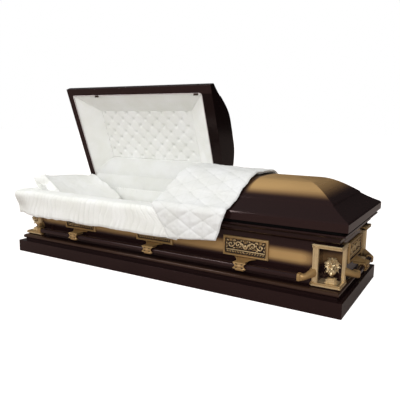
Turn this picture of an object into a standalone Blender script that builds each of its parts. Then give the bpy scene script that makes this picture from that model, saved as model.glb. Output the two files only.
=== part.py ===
"""Half-couch metal casket: head lid open, foot lid closed, cast fittings and a cloth interior.

Metres, +Z up. The origin is the middle of the underside, +X points to the foot end and +Y to
the hinge side. Each sub-part is one named object. The pieces of each lid are modelled closed
and hang on an empty that sits on the lid's hinge axis.
"""
import bpy
import bmesh
from math import cos, sin, pi, radians
from mathutils import Matrix, Vector

# Driving sizes of the body
BASE_LENGTH = 2.13
BASE_WIDTH = 0.71
BASE_HEIGHT = 0.073
BASE_HEM = 0.015
SHEET = 0.0012
GAP = 0.0003
RIM_OVERHANG = 0.010
BODY_HEIGHT = 0.378
SIDE_WAIST_INSET = 0.075
END_WAIST_INSET = 0.053
FOOT_INSET = 0.043
TORUS_RADIUS = 0.0125
TORUS_MIDDLE = 0.098
LEDGE_RISE = 0.006
FLARE_HEIGHT = 0.020
FLARE_REACH = 0.029
CORNICE_HEIGHT = 0.044
CORNICE_REACH = 0.028
CORNICE_INSET = 0.013
CORNICE_STEP = 0.005
CORNICE_BAND = 0.008
FLANGE_WIDTH = 0.050

# Driving sizes of the lids
SPLIT_X = 0.113
SPLIT_GAP = 0.003
LID_GAP = 0.018
RIM_BAND = 0.041
RIM_ROUND = 0.005
CROWN_HEIGHT = 0.145
CREASE_INSET = 0.095
CREASE_RISE = 0.054
CREASE_STEP = 0.008
CREASE_RUN = 0.004
CROWN_END_RUN = 0.290
RIDGE_RISE = 0.001
LID_FLANGE = 0.052
HEADER_FLANGE = 0.075
HEAD_LID_OPEN = radians(70)

# Driving sizes of the hinges and catches
HINGE_BEYOND_BODY = 0.011
HINGE_RISE = 0.012
KNUCKLE_RADIUS = 0.005
HINGE_WIDTH = 0.090
KNUCKLE_WIDTH = 0.030
LEAF_THICKNESS = 0.0025
LEAF_DEPTH = 0.0195
LEAF_FROM_AXIS = 0.0065
HINGE_FROM_END = 0.200
CATCH_WIDTH = 0.030
CATCH_THICKNESS = 0.004
CATCH_HOOK = 0.005
CATCH_REACH = 0.007
CATCH_LAP = 0.0045
CATCH_DROP = 0.009
CATCH_FROM_HEAD = 0.274
CATCH_FROM_SPLIT = 0.110

# Driving sizes of the gasket
GASKET_INSET = 0.030
GASKET_WIDTH = 0.016

# Driving sizes of the corner niches and their castings
NICHE_LENGTH = 0.092
NICHE_DEPTH = 0.071
NICHE_ABOVE_LEDGE = 0.0035
NICHE_BELOW_FLARE = 0.014
FRAME_THICKNESS = 0.016
FRAME_BAR = 0.028
FRAME_LAP = 0.003
FRAME_TOP_HEIGHT = 0.016
SHELF_THICKNESS = 0.013
HORN_LENGTH = 0.052
HORN_ROOT_RADIUS = 0.021
HORN_ROOT_RISE = 0.018
HORN_NECK_RADIUS = 0.0165
COLLAR_RADIUS = 0.0195
COLLAR_LENGTH = 0.014
COLLAR_STEP = 0.004
SOCKET_DEPTH = 0.012
HORN_SIDES = 10
URN_FROM_CORNER = 0.036
URN_RADIUS = 0.023
URN_HEIGHT = 0.078
URN_PLINTH = 0.017
SPRAY_HEIGHT = 0.052
URN_SIDES = 10

# Driving sizes of the bars, arms and lug plates
BAR_SIZE = 0.029
BAR_CHAMFER = 0.0075
BAR_STANDOFF = 0.052
BAR_ABOVE_LEDGE = 0.0435
LUG_WIDTH = 0.248
LUG_HEIGHT = 0.102
LUG_THICKNESS = 0.011
LUG_BEVEL = 0.004
LUG_FRAME = 0.013
LUG_RECESS = 0.005
LUG_BELOW_FLARE = 0.018
LUG_SPACING = 0.561
RELIEF_HEIGHT = 0.005
ARM_PAD_WIDTH = 0.060
ARM_FAN_WIDTH = 0.120
ARM_PAD_ABOVE_LEDGE = 0.021
ARM_PAD_THICKNESS = 0.006
ARM_NECK_WIDTH = 0.032
ARM_NECK_HEIGHT = 0.030
ARM_BAND_WIDTH = 0.046
ARM_BAND_WALL = 0.005
ARM_FACE_WIDTH = 0.072
ARM_FACE_THICKNESS = 0.0025
ARM_FACE_DROP = 0.004

# Driving sizes of the soft interior of the body
MATTRESS_TOP = 0.262
MATTRESS_MARGIN = 0.012
MATTRESS_ROUND = 0.020
LINING_THICKNESS = 0.008
LINING_DEPTH = 0.190
PILLOW_WIDTH = 0.520
PILLOW_LENGTH = 0.340
PILLOW_THICKNESS = 0.110
PILLOW_TILT = radians(31)
PILLOW_FROM_END = 0.230
PILLOW_STEPS = 8
EXTENDOVER_THICKNESS = 0.016
EXTENDOVER_BOTTOM = 0.262
EXTENDOVER_INNER_BOTTOM = 0.380
EXTENDOVER_OUT = 0.025
EXTENDOVER_IN = 0.088
EXTENDOVER_FROM_SPLIT = 0.009
EXTENDOVER_BACK = 0.270

# Driving sizes of the head lid's interior
PANEL_DEPTH = 0.110
PANEL_THICKNESS = 0.020
PANEL_LAP = 0.010
PANEL_ROUND = 0.006
BORDER_THICKNESS = 0.006
BORDER_LAP = 0.006
BORDER_HEAD_RUN = 0.125
BORDER_SPLIT_RUN = 0.160
BORDER_FRONT_RUN = 0.147
BORDER_BACK_RUN = 0.117
APRON_BULGE = 0.026
APRON_END_GAP = 0.004

# Driving sizes of the throw
THROW_THICKNESS = 0.012
THROW_LIFT = 0.004
THROW_LENGTH = 0.425
THROW_OVERHANG = 0.054
THROW_OUT = 0.041
THROW_BOTTOM = 0.262
THROW_HEAD_TAPER = 0.118
THROW_FOOT_SLIDE = 0.040
THROW_FOOT_TAPER = 0.045
THROW_HEM_RISE = 0.026

# Tolerances of the meshes
WELD = 0.00002
FLAT_ANGLE = radians(0.5)
SHARP_ANGLE = radians(32)

# Places that follow from the driving sizes
RIM_X = BASE_LENGTH / 2 + RIM_OVERHANG
RIM_Y = BASE_WIDTH / 2 + RIM_OVERHANG
WAIST_X = RIM_X - END_WAIST_INSET
WAIST_Y = RIM_Y - SIDE_WAIST_INSET
NICHE_X = WAIST_X - NICHE_LENGTH
NICHE_Y = WAIST_Y - NICHE_DEPTH
LEDGE_TOP = TORUS_MIDDLE + TORUS_RADIUS + LEDGE_RISE
FLARE_BOTTOM = BODY_HEIGHT - CORNICE_HEIGHT - FLARE_HEIGHT
NICHE_BOTTOM = LEDGE_TOP + NICHE_ABOVE_LEDGE
NICHE_TOP = FLARE_BOTTOM - NICHE_BELOW_FLARE
SHELF_TOP = NICHE_BOTTOM + SHELF_THICKNESS
BAR_MIDDLE = LEDGE_TOP + BAR_ABOVE_LEDGE
LUG_MIDDLE = FLARE_BOTTOM - LUG_BELOW_FLARE - LUG_HEIGHT / 2
OPENING_INSET = CORNICE_INSET + FLANGE_WIDTH
LID_BOTTOM = BODY_HEIGHT + LID_GAP
LID_BAND_TOP = LID_BOTTOM + RIM_BAND
HEAD_SPLIT = SPLIT_X - SPLIT_GAP / 2
FOOT_SPLIT = SPLIT_X + SPLIT_GAP / 2
HINGE_Y = RIM_Y - CORNICE_INSET + HINGE_BEYOND_BODY
HINGE_Z = BODY_HEIGHT + HINGE_RISE
HINGE_AXIS = Vector((0.0, HINGE_Y, HINGE_Z))
FRAME_X = NICHE_X + FRAME_LAP - FRAME_BAR
FRAME_Y = NICHE_Y + FRAME_LAP - FRAME_BAR
SIDE_BAR_END = FRAME_X - HORN_LENGTH
END_BAR_END = FRAME_Y - HORN_LENGTH
LINING_X = NICHE_X - SHEET - GAP
LINING_Y = WAIST_Y - SHEET - GAP
CORNERS = {
    "front_foot": (1, -1),
    "back_foot": (1, 1),
    "back_head": (-1, 1),
    "front_head": (-1, -1),
}

# Share of the way from the panel to the hinge side, and share of the bulge, round the apron
APRON_SHARES = [
    (0.93, 0.0), (0.03, 0.0), (0.10, 0.45), (0.28, 0.85), (0.50, 1.0), (0.72, 0.75), (0.88, 0.30),
]

# Share of the radius and of the height, up the urn and along a lily's bell
URN_SHARES = [
    (0.80, 0.0), (0.80, 0.08), (0.35, 0.20), (0.40, 0.30), (0.90, 0.52), (1.00, 0.70),
    (0.75, 0.86), (0.98, 0.95), (0.98, 1.0),
]
LILY_SHARES = [(0.10, 0.0), (0.10, 0.50), (0.18, 0.80), (0.30, 1.1)]

# Turn and lean in degrees of the urn's three lilies and then of its two leaves
SPRAY = [(-45, 15), (45, 30), (-135, 30), (0, 55), (-90, 55)]

# Share of the half width, share of the half height and turn in degrees of a lug plate's leaves
LUG_LEAVES = [(0.20, 0.15, 35), (0.42, -0.10, -32), (0.66, 0.10, 24)]

# Base colour, roughness and metallic value of each finish
FINISHES = {
    "brown_paint": ((0.028, 0.013, 0.012), 0.18, 0.3),
    "antique_gold": ((0.46, 0.30, 0.13), 0.35, 0.8),
    "rubber": ((0.01, 0.01, 0.01), 0.8, 0.0),
    "cloth": ((0.86, 0.86, 0.83), 0.9, 0.0),
    "quilt": ((0.90, 0.90, 0.88), 0.85, 0.0),
    "steel": ((0.45, 0.45, 0.46), 0.35, 1.0),
}


def clear_scene():
    """Remove whatever objects the file holds."""
    for thing in list(bpy.data.objects):
        bpy.data.objects.remove(thing, do_unlink=True)


def finish_material(name):
    """Principled material of a finish, made once."""
    material = bpy.data.materials.get(name)
    if material:
        return material
    colour, roughness, metallic = FINISHES[name]
    material = bpy.data.materials.new(name)
    material.use_nodes = True
    shader = material.node_tree.nodes["Principled BSDF"]
    shader.inputs["Base Color"].default_value = (*colour, 1.0)
    shader.inputs["Roughness"].default_value = roughness
    shader.inputs["Metallic"].default_value = metallic
    return material


def mesh_from(polygons):
    """Mesh of polygons given by their corners, with equal corners made one vertex."""
    index, corners, faces = {}, [], []
    for polygon in polygons:
        face = []
        for corner in polygon:
            key = tuple(round(c, 7) for c in corner)
            if key not in index:
                index[key] = len(corners)
                corners.append(key)
            if index[key] not in face:
                face.append(index[key])
        if len(face) > 2:
            faces.append(face)
    mesh = bpy.data.meshes.new("solid")
    mesh.from_pydata(corners, [], faces)
    work = bmesh.new()
    work.from_mesh(mesh)
    bmesh.ops.recalc_face_normals(work, faces=work.faces)
    if work.calc_volume(signed=True) < 0:
        bmesh.ops.reverse_faces(work, faces=work.faces)
    work.to_mesh(mesh)
    work.free()
    return mesh


def loft_polygons(rings, loop=False):
    """Polygons between rings of equal length; the end rings are capped, or joined by loop."""
    pairs = list(zip(rings, rings[1:]))
    if loop:
        pairs.append((rings[-1], rings[0]))
    count = len(rings[0])
    polygons = []
    for low, high in pairs:
        for i in range(count):
            j = (i + 1) % count
            polygons.append((low[i], low[j], high[j], high[i]))
    if not loop:
        polygons += [tuple(rings[0]), tuple(rings[-1])]
    return polygons


def loft(rings, loop=False):
    return mesh_from(loft_polygons(rings, loop))


def corner_vectors(line, closed=False):
    """Mitre vector to the right-hand side at each point of a 2-D line."""
    count = len(line)
    vectors = []
    for i in range(count):
        normals = []
        for a, b in ((i - 1, i), (i, i + 1)):
            if closed or (a >= 0 and b < count):
                step = (Vector(line[b % count]) - Vector(line[a])).normalized()
                normals.append(Vector((step.y, -step.x)))
        if len(normals) == 2:
            vectors.append((normals[0] + normals[1]) / (1 + normals[0].dot(normals[1])))
        else:
            vectors.append(normals[0])
    return vectors


def offset_line(line, distance):
    """2-D line moved to its right-hand side."""
    return [tuple(Vector(p) + v * distance) for p, v in zip(line, corner_vectors(line))]


def ribbon(line, thickness):
    """Closed section of even thickness about a 2-D line."""
    return offset_line(line, thickness / 2) + offset_line(line, -thickness / 2)[::-1]


def sweep(section, path, closed=False):
    """Closed section of (outward, height) points carried along an anticlockwise plan path."""
    rings = []
    for point, out in zip(path, corner_vectors(path, closed)):
        rings.append([(point[0] + out.x * d, point[1] + out.y * d, z) for d, z in section])
    return loft(rings, closed)


def arc(middle, radii, start, end, steps):
    """Points of an elliptical 2-D arc, with its angles in degrees."""
    points = []
    for i in range(steps + 1):
        angle = radians(start + (end - start) * i / steps)
        points.append((middle[0] + radii[0] * cos(angle), middle[1] + radii[1] * sin(angle)))
    return points


def rectangle(x0, x1, y0, y1):
    """Plan rectangle, anticlockwise from its front left corner."""
    return [(x0, y0), (x1, y0), (x1, y1), (x0, y1)]


def level(plan, z):
    """Plan points raised to a height."""
    return [(x, y, z) for x, y in plan]


def block(x0, x1, y0, y1, z0, z1):
    plan = rectangle(x0, x1, y0, y1)
    return loft([level(plan, z0), level(plan, z1)])


def soft_block(x0, x1, y0, y1, z0, z1, edge):
    """Block with a chamfer round its top and its bottom."""
    inner = rectangle(x0 + edge, x1 - edge, y0 + edge, y1 - edge)
    outer = rectangle(x0, x1, y0, y1)
    return loft([level(inner, z0), level(outer, z0 + edge), level(outer, z1 - edge), level(inner, z1)])


def combine(base, others, operation="UNION"):
    """Mesh that exact Booleans make of a mesh and several others."""
    holder = bpy.data.objects.new("holder", base)
    bpy.context.collection.objects.link(holder)
    helpers = []
    for mesh in others:
        helper = bpy.data.objects.new("helper", mesh)
        bpy.context.collection.objects.link(helper)
        modifier = holder.modifiers.new("join", "BOOLEAN")
        modifier.operation = operation
        modifier.object = helper
        helpers.append(helper)
    bpy.context.view_layer.update()
    shape = holder.evaluated_get(bpy.context.evaluated_depsgraph_get())
    result = bpy.data.meshes.new_from_object(shape)
    for thing in [holder, *helpers]:
        bpy.data.objects.remove(thing, do_unlink=True)
    work = bmesh.new()
    work.from_mesh(result)
    bmesh.ops.remove_doubles(work, verts=work.verts, dist=WELD)
    bmesh.ops.dissolve_limit(
        work, angle_limit=FLAT_ANGLE, verts=work.verts, edges=work.edges
    )
    work.to_mesh(result)
    work.free()
    return result


def transformed(mesh, matrix):
    """Copy of a mesh under a matrix, with its faces still pointing out."""
    copy = mesh.copy()
    copy.transform(matrix)
    if matrix.determinant() < 0:
        copy.flip_normals()
    return copy


def add_part(name, mesh, finish, axis=None, sheet=0.0):
    """Named object of a sub-part. A piece of a lid hangs on the lid's axis empty, and sheet is
    the thickness that an open skin grows inwards."""
    piece = bpy.data.objects.new(name, mesh)
    mesh.name = name
    bpy.context.collection.objects.link(piece)
    mesh.materials.clear()
    mesh.materials.append(finish_material(finish))
    if axis:
        mesh.transform(Matrix.Translation(-HINGE_AXIS))
        piece.parent = axis
    mesh.shade_smooth()
    mesh.set_sharp_from_angle(angle=SHARP_ANGLE)
    if sheet:
        shell = piece.modifiers.new("sheet", "SOLIDIFY")
        shell.thickness = sheet
        shell.offset = -1
        shell.use_even_offset = True
        shell.use_quality_normals = True
    return piece


def add_axis(name, opening):
    """Empty on a lid's hinge axis, turned by the angle at which the lid stands open."""
    axis = bpy.data.objects.new(name, None)
    bpy.context.collection.objects.link(axis)
    axis.location = HINGE_AXIS
    axis.rotation_euler = (-opening, 0.0, 0.0)
    return axis


# Body


def end_inset(inset):
    """Inset of the end walls where the side walls have the given one."""
    if inset <= FOOT_INSET:
        return inset
    share = (END_WAIST_INSET - FOOT_INSET) / (SIDE_WAIST_INSET - FOOT_INSET)
    return FOOT_INSET + (inset - FOOT_INSET) * share


def body_profile():
    """(side inset, height) of the body's skin, from its foot up to its top edge."""
    torus = arc((FOOT_INSET, TORUS_MIDDLE), (-TORUS_RADIUS, TORUS_RADIUS), -90, 90, 6)
    flare_inset = SIDE_WAIST_INSET - FLARE_REACH
    flare = arc((flare_inset, FLARE_BOTTOM), (FLARE_REACH, FLARE_HEIGHT), 0, 90, 4)
    cove_bottom = BODY_HEIGHT - CORNICE_HEIGHT + CORNICE_STEP
    cove_height = BODY_HEIGHT - CORNICE_BAND - cove_bottom
    cove = arc((CORNICE_INSET, cove_bottom), (CORNICE_REACH, cove_height), 0, 90, 4)
    return [
        (FOOT_INSET, 0.0),
        *torus,
        (SIDE_WAIST_INSET, LEDGE_TOP),
        (SIDE_WAIST_INSET, NICHE_BOTTOM),
        (SIDE_WAIST_INSET, NICHE_TOP),
        *flare,
        *cove,
        (CORNICE_INSET, BODY_HEIGHT),
    ]


def side_points(x, y, z, side, ends):
    """Points along one side of a body level: its corners, its niche edges or all of them."""
    corners = rectangle(-x, x, -y, y)
    start, end = corners[side], corners[(side + 1) % 4]
    if side % 2 == 0:
        cuts = [(NICHE_X if c[0] > 0 else -NICHE_X, c[1]) for c in (start, end)]
    else:
        cuts = [(c[0], NICHE_Y if c[1] > 0 else -NICHE_Y) for c in (start, end)]
    chosen = {"corners": [start, end], "niche": cuts, "all": [start, *cuts, end]}[ends]
    return level(chosen, z)


def body_skin():
    """Outer skin of the body: profiled walls with four niches, the pan and the top flange."""
    levels = [(RIM_X - end_inset(s), RIM_Y - s, z) for s, z in body_profile()]
    polygons = []
    for low, high in zip(levels, levels[1:]):
        niche = low[2] == NICHE_BOTTOM and high[2] == NICHE_TOP
        low_ends = "niche" if niche else "all" if low[2] == NICHE_TOP else "corners"
        high_ends = "niche" if niche else "all" if high[2] == NICHE_BOTTOM else "corners"
        for side in range(4):
            up = side_points(*high, side, high_ends)[::-1]
            polygons.append(side_points(*low, side, low_ends) + up)
    for sx, sy in CORNERS.values():
        outer_x, outer_y = sx * WAIST_X, sy * WAIST_Y
        inner_x, inner_y = sx * NICHE_X, sy * NICHE_Y
        plan = [(inner_x, outer_y), (inner_x, inner_y), (outer_x, inner_y), (outer_x, outer_y)]
        floor, roof = level(plan, NICHE_BOTTOM), level(plan, NICHE_TOP)
        polygons += [floor, roof]
        polygons += [(floor[i], floor[i + 1], roof[i + 1], roof[i]) for i in (0, 1)]
    x, y, top = levels[-1]
    edge = level(rectangle(-x, x, -y, y), top)
    x, y = RIM_X - OPENING_INSET, RIM_Y - OPENING_INSET
    opening = level(rectangle(-x, x, -y, y), top)
    polygons += [(edge[i], edge[(i + 1) % 4], opening[(i + 1) % 4], opening[i]) for i in range(4)]
    x, y, bottom = levels[0]
    polygons.append(level(rectangle(-x, x, -y, y), bottom))
    return mesh_from(polygons)


def build_body():
    add_part("body_shell", body_skin(), "brown_paint", sheet=SHEET)
    half_x, half_y = BASE_LENGTH / 2, BASE_WIDTH / 2
    base_path = rectangle(-half_x, half_x, -half_y, half_y)
    ledge = -(FOOT_INSET - RIM_OVERHANG - GAP)
    base_section = [
        (0, 0),
        (0, BASE_HEIGHT),
        (ledge, BASE_HEIGHT),
        (ledge, BASE_HEIGHT - SHEET),
        (-SHEET, BASE_HEIGHT - SHEET),
        (-SHEET, SHEET),
        (-BASE_HEM, SHEET),
        (-BASE_HEM, 0),
    ]
    add_part("base_moulding", sweep(base_section, base_path, closed=True), "brown_paint")
    rim_path = rectangle(-RIM_X, RIM_X, -RIM_Y, RIM_Y)
    low, high = BODY_HEIGHT + GAP, LID_BOTTOM - GAP
    outer, inner = -GASKET_INSET, -GASKET_INSET - GASKET_WIDTH
    gasket_section = [(outer, low), (outer, high), (inner, high), (inner, low)]
    add_part("gasket", sweep(gasket_section, rim_path, closed=True), "rubber")


# Corner castings. Each is modelled at the front foot corner and mirrored to the others.


def bar_section(size, chamfer):
    """Chamfered square about the bar's axis."""
    half, flat = size / 2, size / 2 - chamfer
    corners = [(half, flat), (flat, half), (-flat, half), (-half, flat)]
    return corners + [(-a, -b) for a, b in corners]


def horn(along_start, wall, along_x):
    """Horn from a frame bar to its socket. It starts at the socket's mouth, at along_start on
    the bar's axis, and turns into the wall, whose outer face is at wall."""
    neck = (COLLAR_RADIUS + HORN_NECK_RADIUS) / 2
    root = HORN_LENGTH + COLLAR_LENGTH / 2
    stations = [
        (0.0, BAR_STANDOFF, 0.0, COLLAR_RADIUS, 0),
        (COLLAR_LENGTH, BAR_STANDOFF, 0.0, COLLAR_RADIUS, 0),
        (COLLAR_LENGTH + COLLAR_STEP, BAR_STANDOFF, 0.0, neck, 0),
        (root * 0.55, BAR_STANDOFF * 0.92, HORN_ROOT_RISE * 0.2, HORN_NECK_RADIUS, 20),
        (root * 0.85, BAR_STANDOFF * 0.62, HORN_ROOT_RISE * 0.65, HORN_NECK_RADIUS, 50),
        (root, GAP, HORN_ROOT_RISE, HORN_ROOT_RADIUS, 90),
    ]
    rings = []
    for along, out, rise, radius, turn in stations:
        ring = []
        for i in range(HORN_SIDES):
            angle = 2 * pi * (i + 0.5) / HORN_SIDES
            across, up = radius * cos(angle), radius * sin(angle)
            a = along_start + along + across * sin(radians(turn))
            o = wall + out + across * cos(radians(turn))
            ring.append((a, -o, BAR_MIDDLE + rise + up))
        rings.append(ring)
    bore = []
    for a in (along_start - GAP, along_start + SOCKET_DEPTH):
        section = bar_section(BAR_SIZE + 2 * GAP, BAR_CHAMFER)
        bore.append([(a, -(wall + BAR_STANDOFF) + out, BAR_MIDDLE + up) for out, up in section])
    solid = combine(loft(rings), [loft(bore)], "DIFFERENCE")
    if along_x:
        return solid
    return transformed(solid, Matrix(((0, -1, 0, 0), (-1, 0, 0, 0), (0, 0, 1, 0), (0, 0, 0, 1))))


def frame_solid():
    """Corner casting: top bar, shelf, two upright bars and two horns in one."""
    wall_x, wall_y = WAIST_X + GAP, WAIST_Y + GAP
    path = [(FRAME_X, -wall_y), (wall_x, -wall_y), (wall_x, -FRAME_Y)]
    face = FRAME_THICKNESS
    lip = FRAME_THICKNESS + FRAME_LAP
    top, roof = NICHE_TOP + FRAME_TOP_HEIGHT, NICHE_TOP - FRAME_LAP
    shelf_bottom = LEDGE_TOP + GAP
    top_section = [
        (0, roof),
        (face, roof),
        (lip, roof + FRAME_LAP),
        (lip, top - 2 * FRAME_LAP),
        (face, top),
        (0, FLARE_BOTTOM),
    ]
    shelf_section = [
        (0, shelf_bottom),
        (lip, shelf_bottom),
        (lip, SHELF_TOP - 2 * FRAME_LAP),
        (face, SHELF_TOP),
        (0, SHELF_TOP),
    ]
    depth = face - FRAME_LAP / 2
    low, high = (shelf_bottom + SHELF_TOP) / 2, (top + roof) / 2
    shelf = block(
        NICHE_X + GAP, wall_x + FRAME_LAP, -wall_y - FRAME_LAP, -NICHE_Y - GAP,
        NICHE_BOTTOM + GAP, SHELF_TOP,
    )
    side_bar = block(FRAME_X, FRAME_X + FRAME_BAR, -wall_y - depth, -wall_y, low, high)
    end_bar = block(wall_x, wall_x + depth, -FRAME_Y - FRAME_BAR, -FRAME_Y, low, high)
    pieces = [
        sweep(shelf_section, path),
        shelf,
        side_bar,
        end_bar,
        horn(SIDE_BAR_END, WAIST_Y, along_x=True),
        horn(END_BAR_END, WAIST_X, along_x=False),
    ]
    return combine(sweep(top_section, path), pieces)


def turned(profile, middle, sides):
    """Solid of revolution from (radius, height) points."""
    rings = []
    for radius, z in profile:
        ring = []
        for i in range(sides):
            angle = 2 * pi * i / sides
            ring.append((middle[0] + radius * cos(angle), middle[1] + radius * sin(angle), z))
        rings.append(ring)
    return loft(rings)


def blade(length, width, height):
    """Pointed leaf along +X that rises to a narrow ridge along +Z from below its base plane."""
    outline = [(0, 0), (0.35, -0.5), (0.75, -0.33), (1, 0), (0.75, 0.33), (0.35, 0.5)]
    foot = [(a * length, b * width, -height / 2) for a, b in outline]
    ridge = [((0.08 + 0.8 * a) * length, 0.2 * b * width, height) for a, b in outline]
    return loft([foot, ridge])


def urn_solid():
    """Cast urn on a square plinth, with a spray of lilies and leaves."""
    x, y = WAIST_X - URN_FROM_CORNER, -(WAIST_Y - URN_FROM_CORNER + URN_RADIUS / 4)
    base = SHELF_TOP + GAP
    half = URN_RADIUS
    plinth = block(x - half, x + half, y - half, y + half, base, base + URN_PLINTH)
    foot = base + URN_PLINTH - GAP
    tall = URN_HEIGHT - URN_PLINTH
    urn = turned([(r * URN_RADIUS, foot + h * tall) for r, h in URN_SHARES], (x, y), URN_SIDES)
    spray = []
    rim = foot + tall
    for i, (turn, lean) in enumerate(SPRAY):
        tilt = Matrix.Rotation(radians(turn), 4, "Z") @ Matrix.Rotation(radians(lean), 4, "Y")
        place = Matrix.Translation((x, y, rim - URN_RADIUS / 2)) @ tilt
        if i < 3:
            lily = [(r * SPRAY_HEIGHT, h * SPRAY_HEIGHT) for r, h in LILY_SHARES]
            spray.append(transformed(turned(lily, (0, 0), 6), place))
        else:
            upright = Matrix.Rotation(radians(-90), 4, "Y")
            leaf = blade(SPRAY_HEIGHT, URN_RADIUS, URN_RADIUS / 5)
            spray.append(transformed(leaf, place @ upright))
    return combine(plinth, [urn, *spray])


def build_corners():
    frame, urn = frame_solid(), urn_solid()
    for place, (sx, sy) in CORNERS.items():
        mirror = Matrix.Diagonal((sx, -sy, 1, 1))
        add_part(f"corner_frame_{place}", transformed(frame, mirror), "antique_gold")
        add_part(f"corner_urn_{place}", transformed(urn, mirror), "antique_gold")


# Lug plates, arms and bars. Each is modelled on the front wall's plane at y = 0, facing -Y.


def lug_solid():
    """Cast plate with a stepped frame and a leaf scroll in low relief."""
    def rim(inset, out):
        a, b = LUG_WIDTH / 2 - inset, LUG_HEIGHT / 2 - inset
        return [(x, -GAP - out, LUG_MIDDLE + z) for x, z in rectangle(-a, a, -b, b)]

    floor = LUG_THICKNESS - LUG_RECESS
    plate = loft([
        rim(0, 0),
        rim(0, LUG_THICKNESS - LUG_BEVEL),
        rim(LUG_BEVEL, LUG_THICKNESS),
        rim(LUG_FRAME, LUG_THICKNESS),
        rim(LUG_FRAME + LUG_BEVEL, floor),
    ])
    face = Matrix.Translation((0, -GAP - floor, LUG_MIDDLE)) @ Matrix.Rotation(radians(90), 4, "X")
    reach_x, reach_z = LUG_WIDTH / 2 - LUG_FRAME, LUG_HEIGHT / 2 - LUG_FRAME
    boss = turned(
        [(0.42 * reach_z, -RELIEF_HEIGHT / 2), (0.42 * reach_z, 0.4 * RELIEF_HEIGHT),
         (0.15 * reach_z, RELIEF_HEIGHT)],
        (0, 0), 8,
    )
    relief = [transformed(boss, face)]
    for side in (-1, 1):
        for along, rise, turn in LUG_LEAVES:
            place = Matrix.Translation((side * along * reach_x, rise * reach_z, 0))
            angle = radians(turn if side > 0 else 180 - turn)
            leaf = blade(0.30 * reach_x, 0.42 * reach_z, RELIEF_HEIGHT * 0.8)
            relief.append(transformed(leaf, face @ place @ Matrix.Rotation(angle, 4, "Z")))
    return combine(plate, relief)


def arm_solid():
    """Waisted arm from a wall pad, which fans out under the lug plate, to a band that goes round
    the bar and has an hourglass face."""
    pad_top = LUG_MIDDLE - LUG_HEIGHT / 2 - GAP
    pad_bottom = LEDGE_TOP + ARM_PAD_ABOVE_LEDGE
    pad_middle, pad_height = (pad_top + pad_bottom) / 2, pad_top - pad_bottom
    band = BAR_SIZE + 2 * (ARM_BAND_WALL + GAP)
    stations = [
        (GAP, ARM_PAD_WIDTH, ARM_FAN_WIDTH, pad_height, pad_middle),
        (ARM_PAD_THICKNESS, ARM_PAD_WIDTH, ARM_FAN_WIDTH, pad_height, pad_middle),
        (ARM_PAD_THICKNESS * 2, ARM_PAD_WIDTH * 0.75, ARM_FAN_WIDTH * 0.7, pad_height * 0.75, pad_middle),
        (BAR_STANDOFF * 0.45, ARM_NECK_WIDTH, ARM_NECK_WIDTH, ARM_NECK_HEIGHT,
         (pad_middle + BAR_MIDDLE) / 2),
        (BAR_STANDOFF - band / 2 + ARM_BAND_WALL / 3, ARM_BAND_WIDTH, ARM_BAND_WIDTH,
         ARM_NECK_HEIGHT, BAR_MIDDLE),
    ]
    rings = []
    for out, lower, upper, height, middle in stations:
        z0, z1 = middle - height / 2, middle + height / 2
        plan = [(-lower / 2, z0), (lower / 2, z0), (upper / 2, z1), (-upper / 2, z1)]
        rings.append([(x, -out, z) for x, z in plan])

    def tube(size, chamfer, half):
        return loft([
            [(x, out - BAR_STANDOFF, BAR_MIDDLE + up) for out, up in bar_section(size, chamfer)]
            for x in (-half, half)
        ])

    hoop = combine(
        tube(band, BAR_CHAMFER + ARM_BAND_WALL / 2, ARM_BAND_WIDTH / 2),
        [tube(BAR_SIZE + 2 * GAP, BAR_CHAMFER, ARM_BAND_WIDTH)],
        "DIFFERENCE",
    )
    wide, waist = ARM_FACE_WIDTH / 2, ARM_BAND_WIDTH / 2
    low, high = BAR_MIDDLE - band / 2 - ARM_FACE_DROP, BAR_MIDDLE + band / 2
    outline = [
        (-wide, low), (wide, low), (waist, BAR_MIDDLE), (wide, high), (-wide, high), (-waist, BAR_MIDDLE),
    ]
    front = BAR_STANDOFF + band / 2
    face = loft([
        [(x, -out, z) for x, z in outline]
        for out in (front - ARM_BAND_WALL / 2, front + ARM_FACE_THICKNESS)
    ])
    return combine(loft(rings), [hoop, face])


def bar_solid(half):
    return loft([
        [(x, out - BAR_STANDOFF, BAR_MIDDLE + up) for out, up in bar_section(BAR_SIZE, BAR_CHAMFER)]
        for x in (-half, half)
    ])


def build_handles():
    lug, arm = lug_solid(), arm_solid()
    walls = {
        "front": (Matrix.Translation((0, -WAIST_Y, 0)), SIDE_BAR_END),
        "back": (Matrix.Translation((0, WAIST_Y, 0)) @ Matrix.Rotation(pi, 4, "Z"), SIDE_BAR_END),
        "foot": (Matrix.Translation((WAIST_X, 0, 0)) @ Matrix.Rotation(pi / 2, 4, "Z"), END_BAR_END),
        "head": (Matrix.Translation((-WAIST_X, 0, 0)) @ Matrix.Rotation(-pi / 2, 4, "Z"), END_BAR_END),
    }
    for side, (wall, socket_mouth) in walls.items():
        on_side = side in ("front", "back")
        for number, step in enumerate((-1, 0, 1) if on_side else (0,), 1):
            tag = f"{side}_{number}" if on_side else side
            place = wall @ Matrix.Translation((step * LUG_SPACING, 0, 0))
            add_part(f"lug_plate_{tag}", transformed(lug, place), "antique_gold")
            add_part(f"handle_arm_{tag}", transformed(arm, place), "antique_gold")
        bar = bar_solid(socket_mouth + SOCKET_DEPTH - GAP)
        add_part(f"handle_bar_{side}", transformed(bar, wall), "brown_paint")


# Lids


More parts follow.
